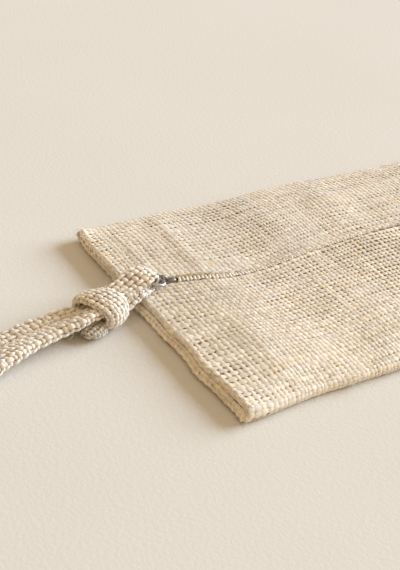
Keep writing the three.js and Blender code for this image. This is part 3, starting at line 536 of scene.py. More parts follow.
j_front = int(np.searchsorted(g_warp, G[3]))       # first warp under the pouch
j_back = int(np.searchsorted(g_warp, G[4]))        # first warp of the back fold
pieces = {}
for name, which, lines, t, ring in (
        ("weft_front", "weft", np.arange(N_WEFT), cut(-0.75, j_front, 4), 5),
        ("weft_back", "weft", np.arange(N_WEFT), cut(j_back, N_WARP - 0.25, 4), 5),
        ("weft_under", "weft", np.arange(N_WEFT), cut(j_front, j_back, 2), 4),
        ("warp_front", "warp", np.arange(0, j_front), cut(-0.5, N_WEFT - 0.5, 4), 5),
        ("warp_back", "warp", np.arange(j_back, N_WARP), cut(-0.5, N_WEFT - 0.5, 4), 5),
        ("warp_under", "warp", np.arange(j_front, j_back), cut(-0.5, N_WEFT - 0.5, 2), 4)):
    full = weft_looks if which == "weft" else warp_looks
    looks = patched(looks_at(full, t, PER, lines), t, lines, which)
    width = w_weft if which == "weft" else w_warp
    b = Bundle()
    P, N, hw, hh, col, u, bend = weave(pouch, LIM, E, GG, LOOSE, 1.0, which, lines, t, width, looks, **YARNS[which])
    sweep(b, P, N, hw, hh, col, u, FLAT if ring == 5 else FLAT3, floor=0.02, bend=bend)
    pieces[name] = b.object(name)

# the sheet under the yarns closes the holes of the weave; its dark brown colour is painted shade seen in the holes
# between the yarns
eg = np.unique(np.r_[np.linspace(0, END_E, 6), np.linspace(END_E, NE - END_E, 57), np.linspace(NE - END_E, NE, 6)])
gg = np.unique(np.r_[np.linspace(G[0], G[1], 5), np.linspace(G[1], G[1] + 4, 6), np.linspace(G[1] + 4, G[2], 18), np.linspace(G[2], G[3], 8),
                     np.linspace(G[3], G[4], 26), np.linspace(G[4], G[5], 8), np.linspace(G[5], G[6] - 4, 12),
                     np.linspace(G[6] - 4, G[6], 6), np.linspace(G[6], G[7], 5)])
P, N = facing(pouch, eg[:, None], gg[None, :], **LIM)
deep = sunk(eg[:, None] + 0 * gg[None, :], P[..., 1])[..., None]
outer, inner = P - N * (0.55 * deep + 0.06), P - N * (0.55 * deep + 0.66)
outer[..., 2] = np.maximum(outer[..., 2], 0.3)
na, nb = outer.shape[:2]
V = np.concatenate([outer.reshape(-1, 3), inner.reshape(-1, 3)])
idx = np.arange(na * nb).reshape(na, nb)
quads = [np.stack([idx[:-1, :-1], idx[:-1, 1:], idx[1:, 1:], idx[1:, :-1]], -1).reshape(-1, 4)]
low = idx + na * nb
quads.append(np.stack([low[:-1, :-1], low[1:, :-1], low[1:, 1:], low[:-1, 1:]], -1).reshape(-1, 4))
for a, b_ in ((idx[:-1, 0], idx[1:, 0]), (idx[1:, -1], idx[:-1, -1])):
    quads.append(np.stack([a, b_, b_ + na * nb, a + na * nb], -1))
for a, b_ in ((idx[0, 1:], idx[0, :-1]), (idx[-1, :-1], idx[-1, 1:])):
    quads.append(np.stack([a, b_, b_ + na * nb, a + na * nb], -1))
pouch_sheet = new_mesh("pouch_sheet", world(V), np.concatenate(quads))


# ------------------------------------------------------------------ zip: tape, coil
def chain_top(x):
    dip = CHAIN["dip"] * (1 - ramp(x, 22.2, 28))
    y = zip_y(x)

    def room(reach):
        return np.min([top_height(x, y + d, False) for d in np.linspace(-reach, reach, 5)], axis=0) - CLOTH - CHAIN["under"]
    return np.minimum(room(CHAIN["coil"] / 2), room(CHAIN["tape"] / 2) + CHAIN["high"]) - dip


def chain_level(x):
    """Height of the coil's shoulders, and half width and top of the stretch that stands up in the slot."""
    z = mix(4.25, chain_top(x), ramp(x, 21.0, 27))
    g = shown_gap(x) / 2
    lip = np.minimum(top_height(x, zip_y(x) - g), top_height(x, zip_y(x) + g)) - 0.14
    b = np.maximum(BEAD["least"], g + 0.02)
    up = ramp(x, 20.0, 21.0) * (1 - ramp(x, 105, 130))
    return z, b, mix(z + 0.03, np.maximum(lip, z + 0.03), up), up


xs = np.r_[np.linspace(CHAIN["from"], 20.6, 6), np.linspace(21.2, 56, 50), np.linspace(57, 132, 76), np.linspace(135, CHAIN["to"], 30)]
z, b, zb, up = chain_level(xs)
y = zip_y(xs)
t2 = CHAIN["tape"] / 2
cols = []
for dy, dz in ((-t2, 1), (-1.9, 1), (-1.5, 2), (-0.6, 3), (0.6, 3), (1.5, 2), (1.9, 1), (t2, 1), (t2, 0), (-t2, 0)):
    zz = {0: z - CHAIN["high"] - CHAIN["thick"], 1: z - CHAIN["high"], 2: z - 0.25, 3: np.maximum(z - 0.1, zb - 0.45)}[dz]
    w = np.where(abs(dy) < 1, np.minimum(0.6, b * 0.7) / 0.6, 1.0)
    cols.append(np.stack([xs, y + dy * w, zz], -1))
ringed = np.stack(cols, 1)
n0, n1 = ringed.shape[:2]
idx = np.arange(n0 * n1).reshape(n0, n1)
nx = np.roll(idx, -1, 1)
quads = np.stack([idx[:-1], idx[1:], nx[1:], nx[:-1]], -1).reshape(-1, 4)
caps = [[idx[0, k], idx[0, k + 1], idx[0, n1 - 2 - k], idx[0, n1 - 1 - k]] for k in range(n1 // 2 - 1)]
caps += [[idx[-1, n1 - 1 - k], idx[-1, n1 - 2 - k], idx[-1, k + 1], idx[-1, k]] for k in range(n1 // 2 - 1)]
zip_tape = new_mesh("zip_tape", world(ringed), np.concatenate([quads, np.array(caps)]),
                    uv=np.stack([np.repeat(xs, n1), np.tile(np.arange(n1) * 1.1, n0)], -1))

# coil: one loop of thin wire for each tooth, across the zip's line, alternately from the two sides
tooth_x = np.arange(21.1, CHAIN["to"] - 1, 1.35)
z, b, zb, up = chain_level(tooth_x)
wide = mix(1.55, b + 0.02, up)
wire = 0.34
zc = mix(z + 0.12, zb, up) - wire
k = np.arange(len(tooth_x))
alt = (k % 2) * 2.0 - 1.0
slope = np.arctan2(zip_y(tooth_x + 1) - zip_y(tooth_x - 1), 2)
path = []
for s, lift, lean in ((-1.0, -0.75, 0.0), (-0.98, -0.25, 0.0), (-0.72, 0.0, 0.1), (0.0, 0.06, 0.0), (0.72, 0.0, -0.1), (0.98, -0.25, 0.0), (1.0, -0.75, 0.0)):
    u = lean * alt + 0.05 * np.sin(k * 12.9)
    v = s * wide
    path.append(np.stack([tooth_x + u * np.cos(slope) - v * np.sin(slope), zip_y(tooth_x) + u * np.sin(slope) + v * np.cos(slope),
                          zc + lift + 0.05 * np.sin(k * 7.7)], -1))
Pt = np.stack(path, 1)
T = unit(np.gradient(Pt, axis=1))
side = np.stack([np.cos(slope), np.sin(slope), 0 * slope], -1)[:, None] + 0 * T
Nn = unit(np.cross(side, T))
Nn = np.where(Nn[..., 2:] < -0.2, -Nn, Nn)
side = np.cross(T, Nn)
ang = np.arange(8) * math.pi / 4
r_along, r_up = 0.55, wire
Vt = Pt[:, :, None] + side[:, :, None] * (np.cos(ang) * r_along)[None, None, :, None] + Nn[:, :, None] * (np.sin(ang) * r_up)[None, None, :, None]
nt, n0, n1 = Vt.shape[:3]
idx = np.arange(nt * n0 * n1).reshape(nt, n0, n1)
nx = np.roll(idx, -1, 2)
quads = np.stack([idx[:, :-1], nx[:, :-1], nx[:, 1:], idx[:, 1:]], -1).reshape(-1, 4)
cap = np.concatenate([idx[:, 0][:, [[0, 3, 2, 1], [0, 5, 4, 3], [0, 7, 6, 5]]].reshape(-1, 4)[:, ::-1],
                      idx[:, -1][:, [[0, 3, 2, 1], [0, 5, 4, 3], [0, 7, 6, 5]]].reshape(-1, 4)])
tint = np.repeat((0.93 + 0.07 * np.sin(k * 5.1))[:, None], n0 * n1, 1)[..., None] * np.array([0.95, 0.88, 0.75])
zip_coil = new_mesh("zip_coil", world(Vt), np.concatenate([quads, cap]), color=tint,
                    uv=np.stack(np.broadcast_arrays(np.arange(n0)[None, :, None] * 0.6 + k[:, None, None] * 3.1, np.arange(n1)[None, None, :] * 0.3), -1))

# ------------------------------------------------------------------ pull ring, a smooth wire
a = np.linspace(0, 2 * math.pi, 72, endpoint=False)


def ring_line(a):
    return np.stack([RING["rx"] * np.sign(np.cos(a)) * np.abs(np.cos(a)) ** (2 / RING["square"]),
                     RING["ry"] * np.sign(np.sin(a)) * np.abs(np.sin(a)) ** (2 / RING["square"]), 0 * a], -1)


mid_, run = ring_line(a), unit(ring_line(a + 0.03) - ring_line(a - 0.03))
out = np.stack([run[:, 1], -run[:, 0], 0 * a], -1)
bb = np.arange(14) * 2 * math.pi / 14
Vr = mid_[:, None] + RING["wire"] * (np.cos(bb)[None, :, None] * out[:, None] + np.sin(bb)[None, :, None] * np.array([0, 0, 1.0]))
tl, tn = math.radians(-RING["tilt"]), math.radians(RING["turn"])
RY = np.array([[math.cos(tl), 0, math.sin(tl)], [0, 1, 0], [-math.sin(tl), 0, math.cos(tl)]])
RZ = np.array([[math.cos(tn), -math.sin(tn), 0], [math.sin(tn), math.cos(tn), 0], [0, 0, 1]])
Vr = Vr @ (RZ @ RY).T + np.array([RING["x"], RING["y"], RING["z"]])
idx = np.arange(72 * 14).reshape(72, 14)
quads = np.stack([idx, np.roll(idx, -1, 0), np.roll(np.roll(idx, -1, 0), -1, 1), np.roll(idx, -1, 1)], -1).reshape(-1, 4)
ring_wire = new_mesh("ring_wire", world(Vr), quads[:, ::-1])


# ------------------------------------------------------------------ slider: two plates, a post, a crown and the bridge for the ring
def loft(rings, start):
    """Triangles over a stack of outlines (n, m, 3), closed at both ends with a middle point."""
    n, m = rings.shape[:2]
    V = np.concatenate([rings.reshape(-1, 3), rings[0].mean(0)[None], rings[-1].mean(0)[None]])
    idx = np.arange(n * m).reshape(n, m)
    nx = np.roll(idx, -1, 1)
    q = np.stack([idx[:-1], nx[:-1], nx[1:], idx[1:]], -1).reshape(-1, 4)
    F = np.concatenate([q[:, [0, 1, 2]], q[:, [0, 2, 3]], np.stack([nx[0], idx[0], np.full(m, n * m)], -1),
                        np.stack([idx[-1], nx[-1], np.full(m, n * m + 1)], -1)])
    return V, F + start


def outline(half_long, half_wide, z, power=2.8, at=0.0, m=40):
    a_ = np.linspace(0, 2 * math.pi, m, endpoint=False)
    c_, s_ = np.cos(a_), np.sin(a_)
    return np.stack([at + half_long * np.sign(c_) * np.abs(c_) ** (2 / power), half_wide * np.sign(s_) * np.abs(s_) ** (2 / power), z + 0 * a_], -1)


stacks = [
    [outline(4.1, 2.4, 2.05), outline(4.4, 2.7, 2.15), outline(4.4, 2.7, 2.5), outline(4.1, 2.4, 2.6)],
    [outline(0.7, 0.55, 2.5, 2, -3.6), outline(0.7, 0.55, 4.7, 2, -3.6)],
    [outline(4.1, 2.4, 4.58), outline(4.4, 2.7, 4.7), outline(4.4, 2.7, 5.05), outline(4.1, 2.4, 5.18)],
]
crown_z = lambda u: mix(6.65, 7.75, ramp(u, -0.2, 1.4)) - 0.9 * ramp(u, 2.8, 4.3)
rows_ = []
for k_, (f_, w_, l_) in enumerate(((0.0, 1.28, 4.3), (0.35, 1.26, 4.28), (0.62, 1.2, 4.2), (0.82, 1.02, 4.05), (0.94, 0.72, 3.8), (1.0, 0.3, 3.4))):
    o_ = outline(l_, w_, 0.0, 2.6)
    o_[:, 2] = mix(5.0, crown_z(o_[:, 0]), f_)
    rows_.append(o_)
stacks.append(rows_)
bridge = np.array([[-3.75, 6.3], [-3.85, 7.3], [-3.75, 8.3], [-3.3, 8.8], [-2.5, 9.05], [-1.6, 9.06], [-0.7, 8.8], [-0.05, 8.25], [0.3, 7.6], [0.45, 6.9]])
bt = unit(np.gradient(np.stack([bridge[:, 0], bridge[:, 1]], -1), axis=0))
ba = np.linspace(0, 2 * math.pi, 14, endpoint=False)
br = []
for (u_, z_), (tu, tz), w_ in zip(bridge, bt, (0.54, 0.52, 0.5, 0.52, 0.56, 0.56, 0.54, 0.5, 0.5, 0.54)):
    c_, s_ = np.sign(np.cos(ba)) * np.abs(np.cos(ba)) ** 0.75 * w_, np.sign(np.sin(ba)) * np.abs(np.sin(ba)) ** 0.75 * 0.27
    br.append(np.stack([u_ - tz * s_, c_, z_ + tu * s_], -1))
stacks.append(br)
V_s, F_s, n_s = [], [], 0
for st in stacks:
    V_, F_ = loft(np.array(st), n_s)
    V_s.append(V_); F_s.append(F_); n_s += len(V_)
V_s = np.concatenate(V_s)
at_ = float(np.arctan2(zip_y(SLIDER["x"] + 2) - zip_y(SLIDER["x"] - 2), 4))
V_s = np.stack([SLIDER["x"] + V_s[:, 0] * math.cos(at_) - V_s[:, 1] * math.sin(at_),
                zip_y(SLIDER["x"]) + V_s[:, 0] * math.sin(at_) + V_s[:, 1] * math.cos(at_), V_s[:, 2]], -1)
slider_body = new_mesh("slider_body", world(V_s), np.concatenate(F_s))


# ------------------------------------------------------------------ strap
def path_of(rows):
    d = np.r_[0, np.cumsum(np.linalg.norm(np.diff(rows[:, :3], axis=0), axis=1))]
    return d


def strip_surface(rows, side=None, lo=0.0, hi=1.0, inset=0.0, power=2.6, wave=None):
    """Face of a strip of cloth: e is millimetres along it, g turns round it (0 to 1). lo to hi is the share of
    the strip's thickness that this leaf of it takes."""
    d = path_of(rows)
    # turn equal shares of the way round into angles of the section
    th = np.linspace(0, 2 * math.pi, 721)
    sec = np.stack([np.sign(np.cos(th)) * np.abs(np.cos(th)) ** (2 / power) * 5.2, np.sign(np.sin(th)) * np.abs(np.sin(th)) ** (2 / power) * 1.15], -1)
    arc = np.r_[0, np.cumsum(np.linalg.norm(np.diff(sec, axis=0), axis=1))]
    arc /= arc[-1]

    def S(e, g):
        e, g = np.broadcast_arrays(np.asarray(e, float), np.asarray(g, float))
        ec = np.clip(e, 0, d[-1])
        q = [hermite(d, rows[:, k], ec) for k in range(6)]
        a = np.stack([hermite(d, rows[:, k], np.clip(ec - 0.15, 0, d[-1])) for k in range(3)], -1)
        b = np.stack([hermite(d, rows[:, k], np.clip(ec + 0.15, 0, d[-1])) for k in range(3)], -1)
        along = unit(b - a)
        across = np.broadcast_to(np.array(side, float), along.shape) if side is not None else np.cross(np.array([0, 0, 1.0]), along)
        across = unit(across - (across * along).sum(-1, keepdims=True) * along)
        up = np.cross(along, across)
        r = np.radians(q[5])[..., None]
        s2, u2 = across * np.cos(r) + up * np.sin(r), up * np.cos(r) - across * np.sin(r)
        an = np.interp(np.mod(g, 1.0), arc, th)
        c, s = np.cos(an), np.sin(an)
        thick, wid = q[4] * (hi - lo), q[3]
        if wave is not None:
            dw, dc = wave(e)
            wid = wid + dw
        else:
            dc = 0.0
        ca = np.sign(c) * np.abs(c) ** (2 / power) * (wid / 2 - inset) + dc
        sa = np.sign(s) * np.abs(s) ** (2 / power) * np.maximum(thick / 2 - inset, 0.25) + q[4] * ((lo + hi) / 2 - 0.5)
        p = np.stack([q[0], q[1], q[2]], -1) + s2 * ca[..., None] + u2 * sa[..., None]
        over = e - ec            # past the ends the strip closes
        return p + along * over[..., None]
    return S, d[-1]


def tube_weave(name, S, length, round_, seed, bundle, pitch=2.3, mid=0.44, amp=0.42, half_h=0.46, width=1.0, start=0.6, end=0.6,
               grey=0.16, ends=True, crown=0.94, neck=0.66, dark=None, per=4):
    """Plain weave round a closed strip: round_ yarns along it (an even number) and closed yarns round it."""
    r = np.random.default_rng(seed)
    n = max(3, int(round((length - start - end) / pitch)) + 1)
    e_pos, we = spaced(r, n, start, length - end, 0.10)
    wg = np.clip(1 + 0.08 * r.standard_normal(round_), 0.8, 1.25)
    g_pos = (np.arange(round_) + 0.5) / round_
    Em = e_pos[:, None] + 0.16 * pitch * soft_noise(r, (n, round_), (0.5, 1.5), wrap=(1,)) * ramp(np.minimum(np.arange(n), n - 1 - np.arange(n)), -1, 2)[:, None]
    Gm = g_pos[None, :] + 0.13 / round_ * soft_noise(r, (n, round_), (2.0, 0.5), wrap=(1,))
    lo = 1 + 0.16 * soft_noise(r, (n, round_), (0.6, 0.6), wrap=(1,))
    girth = pitch
    # yarns round the strip
    t = np.arange(round_ * per) / per
    lines = np.arange(n)
    full = yarn_looks(r, n, len(t) + 2 * per, per, grey=grey, fleck=1.5)
    looks = (full[0][:, per:-per], full[1][:, per:-per])
    e = np.stack([np.interp(t, np.arange(round_ + 1), np.r_[row, row[0]]) for row in Em])
    g = np.stack([np.interp(t, np.arange(round_ + 1), np.r_[row, row[0] + 1]) for row in Gm])
    L = np.stack([np.interp(t, np.arange(round_ + 1), np.r_[row, row[0]]) for row in lo])
    P, N = facing(S, e, g, h=0.004)
    flipn = np.sign(np.mean(np.sum(N * (P - P.mean(1, keepdims=True)), -1)))
    N = N * flipn
    s = (1.0 - 2.0 * (lines % 2))[:, None]
    h = swing(t[None, :], s, 0.95) * amp * L
    c = np.clip(np.cos(math.pi * t)[None, :] * s, 0, 1) ** 0.6
    up = np.clip((h / amp + 1) / 2, 0, 1)
    step = np.linalg.norm(np.roll(P, -1, 1) - P, axis=-1)
    hw = 0.5 * pitch * mix(neck, crown, c) * looks[1] * we[:, None] * width
    hh = half_h * (0.55 + 0.45 * looks[1])
    # painted shade: low stretches of the yarn, where it dips under, are darkened and browned
    col = looks[0] * mix(np.array([0.62, 0.50, 0.36]), 1.05, ramp(up, 0.2, 0.75)[..., None])
    # dark is a painted shade factor given by the caller
    if dark is not None:
        col = col * dark(e, g)[..., None]
    sweep(bundle, P + N * (0.8 * h - mid - 0.10)[..., None], N, hw, hh, col, np.cumsum(step, 1) + 13.7 * lines[:, None], WIDE, loop=True, floor=0.02)
    # yarns along the strip
    t = cut(-0.55 if ends else 0.0, n - 0.45 if ends else n - 1.0, per)
    lines = np.arange(round_)
    full = yarn_looks(r, round_, len(t) + 2, per, grey=grey, fleck=1.5)
    looks = (full[0][:, :len(t)], full[1][:, :len(t)])
    e, g, L = catmull(Em.T, t), catmull(Gm.T, t), catmull(lo.T, t)
    e = np.clip(e, 0.0, length)
    P, N = facing(S, e, g, h=0.004)
    N = N * flipn
    s = -(1.0 - 2.0 * (lines % 2))[:, None]
    h = swing(t[None, :], s, 0.6) * amp * L
    c = np.clip(np.cos(math.pi * t)[None, :] * s, 0, 1) ** 0.6
    up = np.clip((h / amp + 1) / 2, 0, 1)
    # the strip is narrower in places, so yarns along it are as wide as the way round allows
    gap_ = np.linalg.norm(S(e, g + 0.5 / round_) - S(e, g - 0.5 / round_), axis=-1)
    hw = 0.5 * np.minimum(gap_, pitch * 1.2) * mix(neck, crown, c) * looks[1] * wg[:, None]
    hh = half_h * (0.55 + 0.45 * looks[1])
    # painted shade: low stretches of the yarn, where it dips under, are darkened and browned
    col = looks[0] * mix(np.array([0.62, 0.50, 0.36]), 1.05, ramp(up, 0.2, 0.75)[..., None])
    if dark is not None:
        col = col * dark(e, g)[..., None]
    sweep(bundle, P + N * (h - mid + 0.04)[..., None], N, hw, hh, col, t[None, :] * pitch + 11.9 * lines[:, None] + 500, WIDE, floor=0.02)


def wave_of(seed, length, wide=0.35, shift=0.35):
    r = np.random.default_rng(seed)
    at = np.linspace(-5, length + 5, 24)
    w, s = wide * soft_noise(r, (24,), (0.8,)), shift * soft_noise(r, (24,), (1.0,))
    return lambda e: (np.interp(e, at, w), np.interp(e, at, s))


CORE = 0.62    # depth of the strap's yarns' middle under its face
loop_b, front_b, back_b, knot_b = Bundle(), Bundle(), Bundle(), Bundle()
S_loop, L_loop = strip_surface(LOOP, LOOP_SIDE, inset=CORE - 0.30, wave=None)
tube_weave("loop", S_loop, L_loop, 10, 21, loop_b, start=1.0, end=1.0)
cores = [(LOOP, LOOP_SIDE, 0.0, 1.0, 0.62, None)]
wv = wave_of(131, 62)
S, L = strip_surface(TAIL_FRONT, None, inset=0.32, wave=wv)
tube_weave("front", S, L, 12, 31, front_b)
cores.append((TAIL_FRONT, None, 0.0, 1.0, 0.62, wv))
wv = wave_of(141, 56)
S, L = strip_surface(TAIL_BACK, None, inset=0.32, wave=wv)
tube_weave("back", S, L, 10, 41, back_b)
cores.append((TAIL_BACK, None, 0.0, 1.0, 0.62, wv))

# the knot: the strip is wrapped once round, so its long yarns run round the knot
AX = unit(np.array([KNOT_AXIS[0], KNOT_AXIS[1], 0.0]))
SD = np.array([AX[1], -AX[0], 0.0])


def knot_face(s, a, inset=0.0, power=2.4):
    half, high, z, shift = [hermite(KNOT[:, 0], KNOT[:, k], s) for k in range(1, 5)]
    c, n = np.cos(a), np.sin(a)
    ca, sa = np.sign(c) * np.abs(c) ** (2 / power) * (half - inset), np.sign(n) * np.abs(n) ** (2 / power) * (high - inset)
    return (np.array([KNOT_AT[0], KNOT_AT[1], 0.0]) + AX * s[..., None] + SD * (shift + ca)[..., None]
            + np.array([0, 0, 1.0]) * (z + sa)[..., None])


# section of the wrap in (distance along the axis, depth): from the strap's side, over the face, round the left edge and in
WRAP = np.array([[-9.3, 0.3], [-8.2, 0.3], [-6.6, 0.3], [-4.6, 0.3], [-2.4, 0.3], [-0.4, 0.3], [1.2, 0.35], [2.5, 0.6], [3.1, 1.5], [2.6, 2.4], [1.2, 2.8], [-0.6, 2.9]])
WRAP_D = np.r_[0, np.cumsum(np.linalg.norm(np.diff(WRAP, axis=0), axis=1))]


def S_knot(e, g):
    e, g = np.broadcast_arrays(np.asarray(e, float), np.asarray(g, float))
    ec = np.clip(e, 0, WRAP_D[-1])
    s, dep = hermite(WRAP_D, WRAP[:, 0], ec), hermite(WRAP_D, WRAP[:, 1], ec)
    slant = 0.9 * np.sin(2 * math.pi * g + 0.6)         # the wrap lies a little askew
    s = s + slant * ramp(s, -8.0, -3.0)
    s = np.minimum(s, 4.4)
    # the left edge stands nearly as wide as the middle of the knot, so that a hollow is left round the tails
    p = knot_face(np.where(s > 1.2, 1.2 + (s - 1.2) * 0.6, s), 2 * math.pi * g, dep)
    p = p + AX * np.where(s > 1.2, 0.4 * (s - 1.2), 0.0)[..., None]
    return p


def knot_hollow_painted_shade(e, g):
    # painted shade: the part of the wrap that turns in round the hollow is darkened
    inside = ramp(e, WRAP_D[7], WRAP_D[9])
    return 1 - 0.22 * inside


def knot_weave(bundle, seed=51, rows=None, around=26, per=4):
    r = np.random.default_rng(seed)
    n = 10
    e_pos = np.linspace(0.8, WRAP_D[-1] - 0.4, n)
    Em = e_pos[:, None] + 0.18 * soft_noise(r, (n, around), (0.5, 2.5), wrap=(1,))
    Gm = ((np.arange(around) + 0.5) / around)[None, :] + 0.10 / around * soft_noise(r, (n, around), (1.5, 0.6), wrap=(1,))
    lo = 1 + 0.2 * soft_noise(r, (n, around), (0.6, 0.6), wrap=(1,))
    t = np.arange(around * per) / per
    full = yarn_looks(r, n, len(t) + 2 * per, per, grey=0.12, fleck=1.5)
    looks = (full[0][:, per:-per], full[1][:, per:-per])
    ex = lambda M, w: np.stack([np.interp(t, np.arange(around + 1), np.r_[row, row[0] + w]) for row in M])
    e, g, L = ex(Em, 0), ex(Gm, 1), ex(lo, 0)
    P, N = facing(S_knot, e, g, h=0.004)
    face_n = unit(P - (np.array([KNOT_AT[0], KNOT_AT[1], 6.5]) + SD * 2))
    flipn = np.sign(np.sum(N[2] * face_n[2], -1).mean())
    N = N * flipn
    s = (1.0 - 2.0 * (np.arange(n) % 2))[:, None]
    h = swing(t[None, :], s, 0.95) * 0.34 * L + 0.04
    up = np.clip((h - 0.04) / 0.68 + 0.5, 0, 1)
    c = np.clip(np.cos(math.pi * t)[None, :] * s, 0, 1) ** 0.6
    hw = 0.5 * 1.85 * mix(0.76, 0.98, c) * looks[1]
    # painted shade: low stretches of the yarn are darkened and browned, and the wrap by the hollow is darkened too
    col = looks[0] * mix(np.array([0.62, 0.50, 0.36]), 1.05, ramp(up, 0.2, 0.75)[..., None]) * knot_hollow_painted_shade(e, g)[..., None]
    sweep(bundle, P + N * (h - 0.34)[..., None], N, hw, 0.42 * (0.55 + 0.45 * looks[1]), col, t[None, :] * 1.85 + 13.7 * np.arange(n)[:, None], WIDE, loop=True, floor=0.02)
    t = cut(-0.4, n - 0.6, per)
    full = yarn_looks(r, around, len(t) + 2, per, grey=0.12, fleck=1.5)
    looks = (full[0][:, :len(t)], full[1][:, :len(t)])
    e, g, L = catmull(Em.T, t), catmull(Gm.T, t), catmull(lo.T, t)
    e = np.clip(e, 0, WRAP_D[-1])
    P, N = facing(S_knot, e, g, h=0.004)
    N = N * flipn
    s = -(1.0 - 2.0 * (np.arange(around) % 2))[:, None]
    h = swing(t[None, :], s, 0.95) * 0.34 * L - 0.02
    up = np.clip((h + 0.02) / 0.68 + 0.5, 0, 1)
    c = np.clip(np.cos(math.pi * t)[None, :] * s, 0, 1) ** 0.6
    hw = 0.5 * 1.95 * mix(0.72, 0.98, c) * looks[1]
    # painted shade: low stretches of the yarn are darkened and browned, and the wrap by the hollow is darkened too
    col = looks[0] * mix(np.array([0.60, 0.49, 0.36]), 1.03, ramp(up, 0.2, 0.75)[..., None]) * knot_hollow_painted_shade(e, g)[..., None]
    sweep(bundle, P + N * (h - 0.34)[..., None], N, hw, 0.34 * (0.55 + 0.45 * looks[1]), col, t[None, :] * 1.85 + 700 + 11.9 * np.arange(around)[:, None], WIDE, floor=0.02)


knot_weave(knot_b)

# the turn of the strip that comes out of the knot below
ta = math.radians(TUCK["turn"])
TX, TY = np.array([math.cos(ta), math.sin(ta), 0]), np.array([-math.sin(ta), math.cos(ta), 0])


def S_tuck(e, g):
    e, g = np.broadcast_arrays(np.asarray(e, float), np.asarray(g, float))
    c = np.clip(e / 12.0 * 2 - 1, -0.997, 0.997)
    s = np.sqrt(1 - c * c)
    a = 2 * math.pi * g
    thin = mix(0.62, 1.0, ramp(c, -1.0, 0.4))              # it tapers to its free side
    return (np.array([TUCK["x"], TUCK["y"], TUCK["z"] - 0.5]) + TX * ((TUCK["rx"] - 0.3) * c)[..., None]
            + TY * ((TUCK["ry"] - 0.3) * s * np.cos(a))[..., None] + np.array([0, 0, 1.0]) * ((TUCK["rz"] - 0.7) * thin * s * np.sin(a))[..., None])


# painted shade: the tuck lies in the knot's shade, so its yarns' colour is darkened by the dark factor
tube_weave("tuck", S_tuck, 12.0, 12, 61, knot_b, pitch=1.7, start=0.9, end=0.9, grey=0.1, dark=lambda e, g: 0.78 + 0 * e)

strap_loop, strap_front, strap_back, strap_knot = (loop_b.object("strap_loop"), front_b.object("strap_front"),
                                                    back_b.object("strap_back"), knot_b.object("strap_knot"))

# strips inside the strap's yarns; their dark brown colour is painted shade seen in the holes between the yarns
V_all, F_all, count = [], [], 0


def add_tube(S, e, around, cap=True):
    global count
    g = np.arange(around) / around
    V = S(e[:, None], g[None, :])
    V[..., 2] = np.maximum(V[..., 2], 0.25)
    n = len(e)
    idx = np.arange(n * around).reshape(n, around) + count
    nx = np.roll(idx, -1, 1)
    F_all.append(np.stack([idx[:-1], idx[1:], nx[1:], nx[:-1]], -1).reshape(-1, 4))
    h = around // 2
    for row, turn in ((idx[0], 1), (idx[-1], -1)):
        for k in range(h - 1):
            q = [row[k], row[k + 1], row[around - 2 - k], row[around - 1 - k]][::turn]
            F_all.append(np.array([q]))
    V_all.append(V.reshape(-1, 3))
    count += n * around


for rows_, side_, lo_, hi_, inset_, wv_ in cores:
    S, L = strip_surface(rows_, side_, lo_, hi_, inset=inset_ + 0.1, wave=wv_)
    add_tube(S, np.linspace(0.4, L - 0.4, 40), 20)
add_tube(lambda e, g: knot_face(np.asarray(e) + 0 * np.asarray(g), 2 * math.pi * np.asarray(g) + 0 * np.asarray(e), 1.1), np.linspace(-8.9, 1.2, 12), 24)
add_tube(lambda e, g: np.array([TUCK["x"], TUCK["y"], TUCK["z"]]) + 0.80 * (S_tuck(e, g) - np.array([TUCK["x"], TUCK["y"], TUCK["z"]])), np.linspace(0.3, 11.7, 10), 16)
strap_sheet = new_mesh("strap_sheet", world(np.concatenate(V_all)), np.concatenate(F_all))

# ------------------------------------------------------------------ loose fibres on the cloth
rf = np.random.default_rng(77)


def fibres(bundle_v, P, N, long_, rise, radius=0.042):
    """Thin curved three-sided hairs that start at P and lean away along the cloth."""
    n = len(P)
    d = unit(np.cross(N, unit(rf.standard_normal((n, 3)))))
    side = np.cross(N, d)
    curl = rf.normal(0, 0.55, (n, 1))
    pts = []
    for k, s in enumerate((0.0, 0.34, 0.68, 1.0)):
        L = (long_ * s)[:, None]
        pts.append(P + d * L + side * L * curl * s + N * ((rise[:, None] * long_[:, None]) * math.sin(math.pi * 0.62 * s)))
    Q = np.stack(pts, 1)
    T = unit(np.gradient(Q, axis=1))
    A = unit(np.cross(T, N[:, None]))
    B = np.cross(T, A)
    r = radius * np.array([1.0, 1.0, 0.85, 0.4])[None, :, None, None]
    ang = np.array([0, 2.094, 4.189])
    V = Q[:, :, None] + r * (A[:, :, None] * np.cos(ang)[None, None, :, None] + B[:, :, None] * np.sin(ang)[None, None, :, None])
    idx = np.arange(n * 12).reshape(n, 4, 3)
    nx = np.roll(idx, -1, 2)
    F = np.stack([idx[:, :-1], nx[:, :-1], nx[:, 1:], idx[:, 1:]], -1).reshape(-1, 4)
    return V, F


n = 3900
g_r = np.r_[rf.uniform(0.5, G[3], n * 2 // 3), rf.uniform(G[4], G[-1] - 0.5, n - n * 2 // 3)]
e_r = rf.uniform(1, NE - 1, n)
e_r[::9] = rf.uniform(0.2, 3.0, len(e_r[::9]))          # more of them on the near end's seam
P, N = facing(pouch, e_r, g_r, **LIM)
V, F = fibres(None, P - N * 0.15, N, rf.uniform(0.9, 3.8, n), rf.uniform(0.05, 0.4, n))
V[..., 2] = np.maximum(V[..., 2], 0.03)
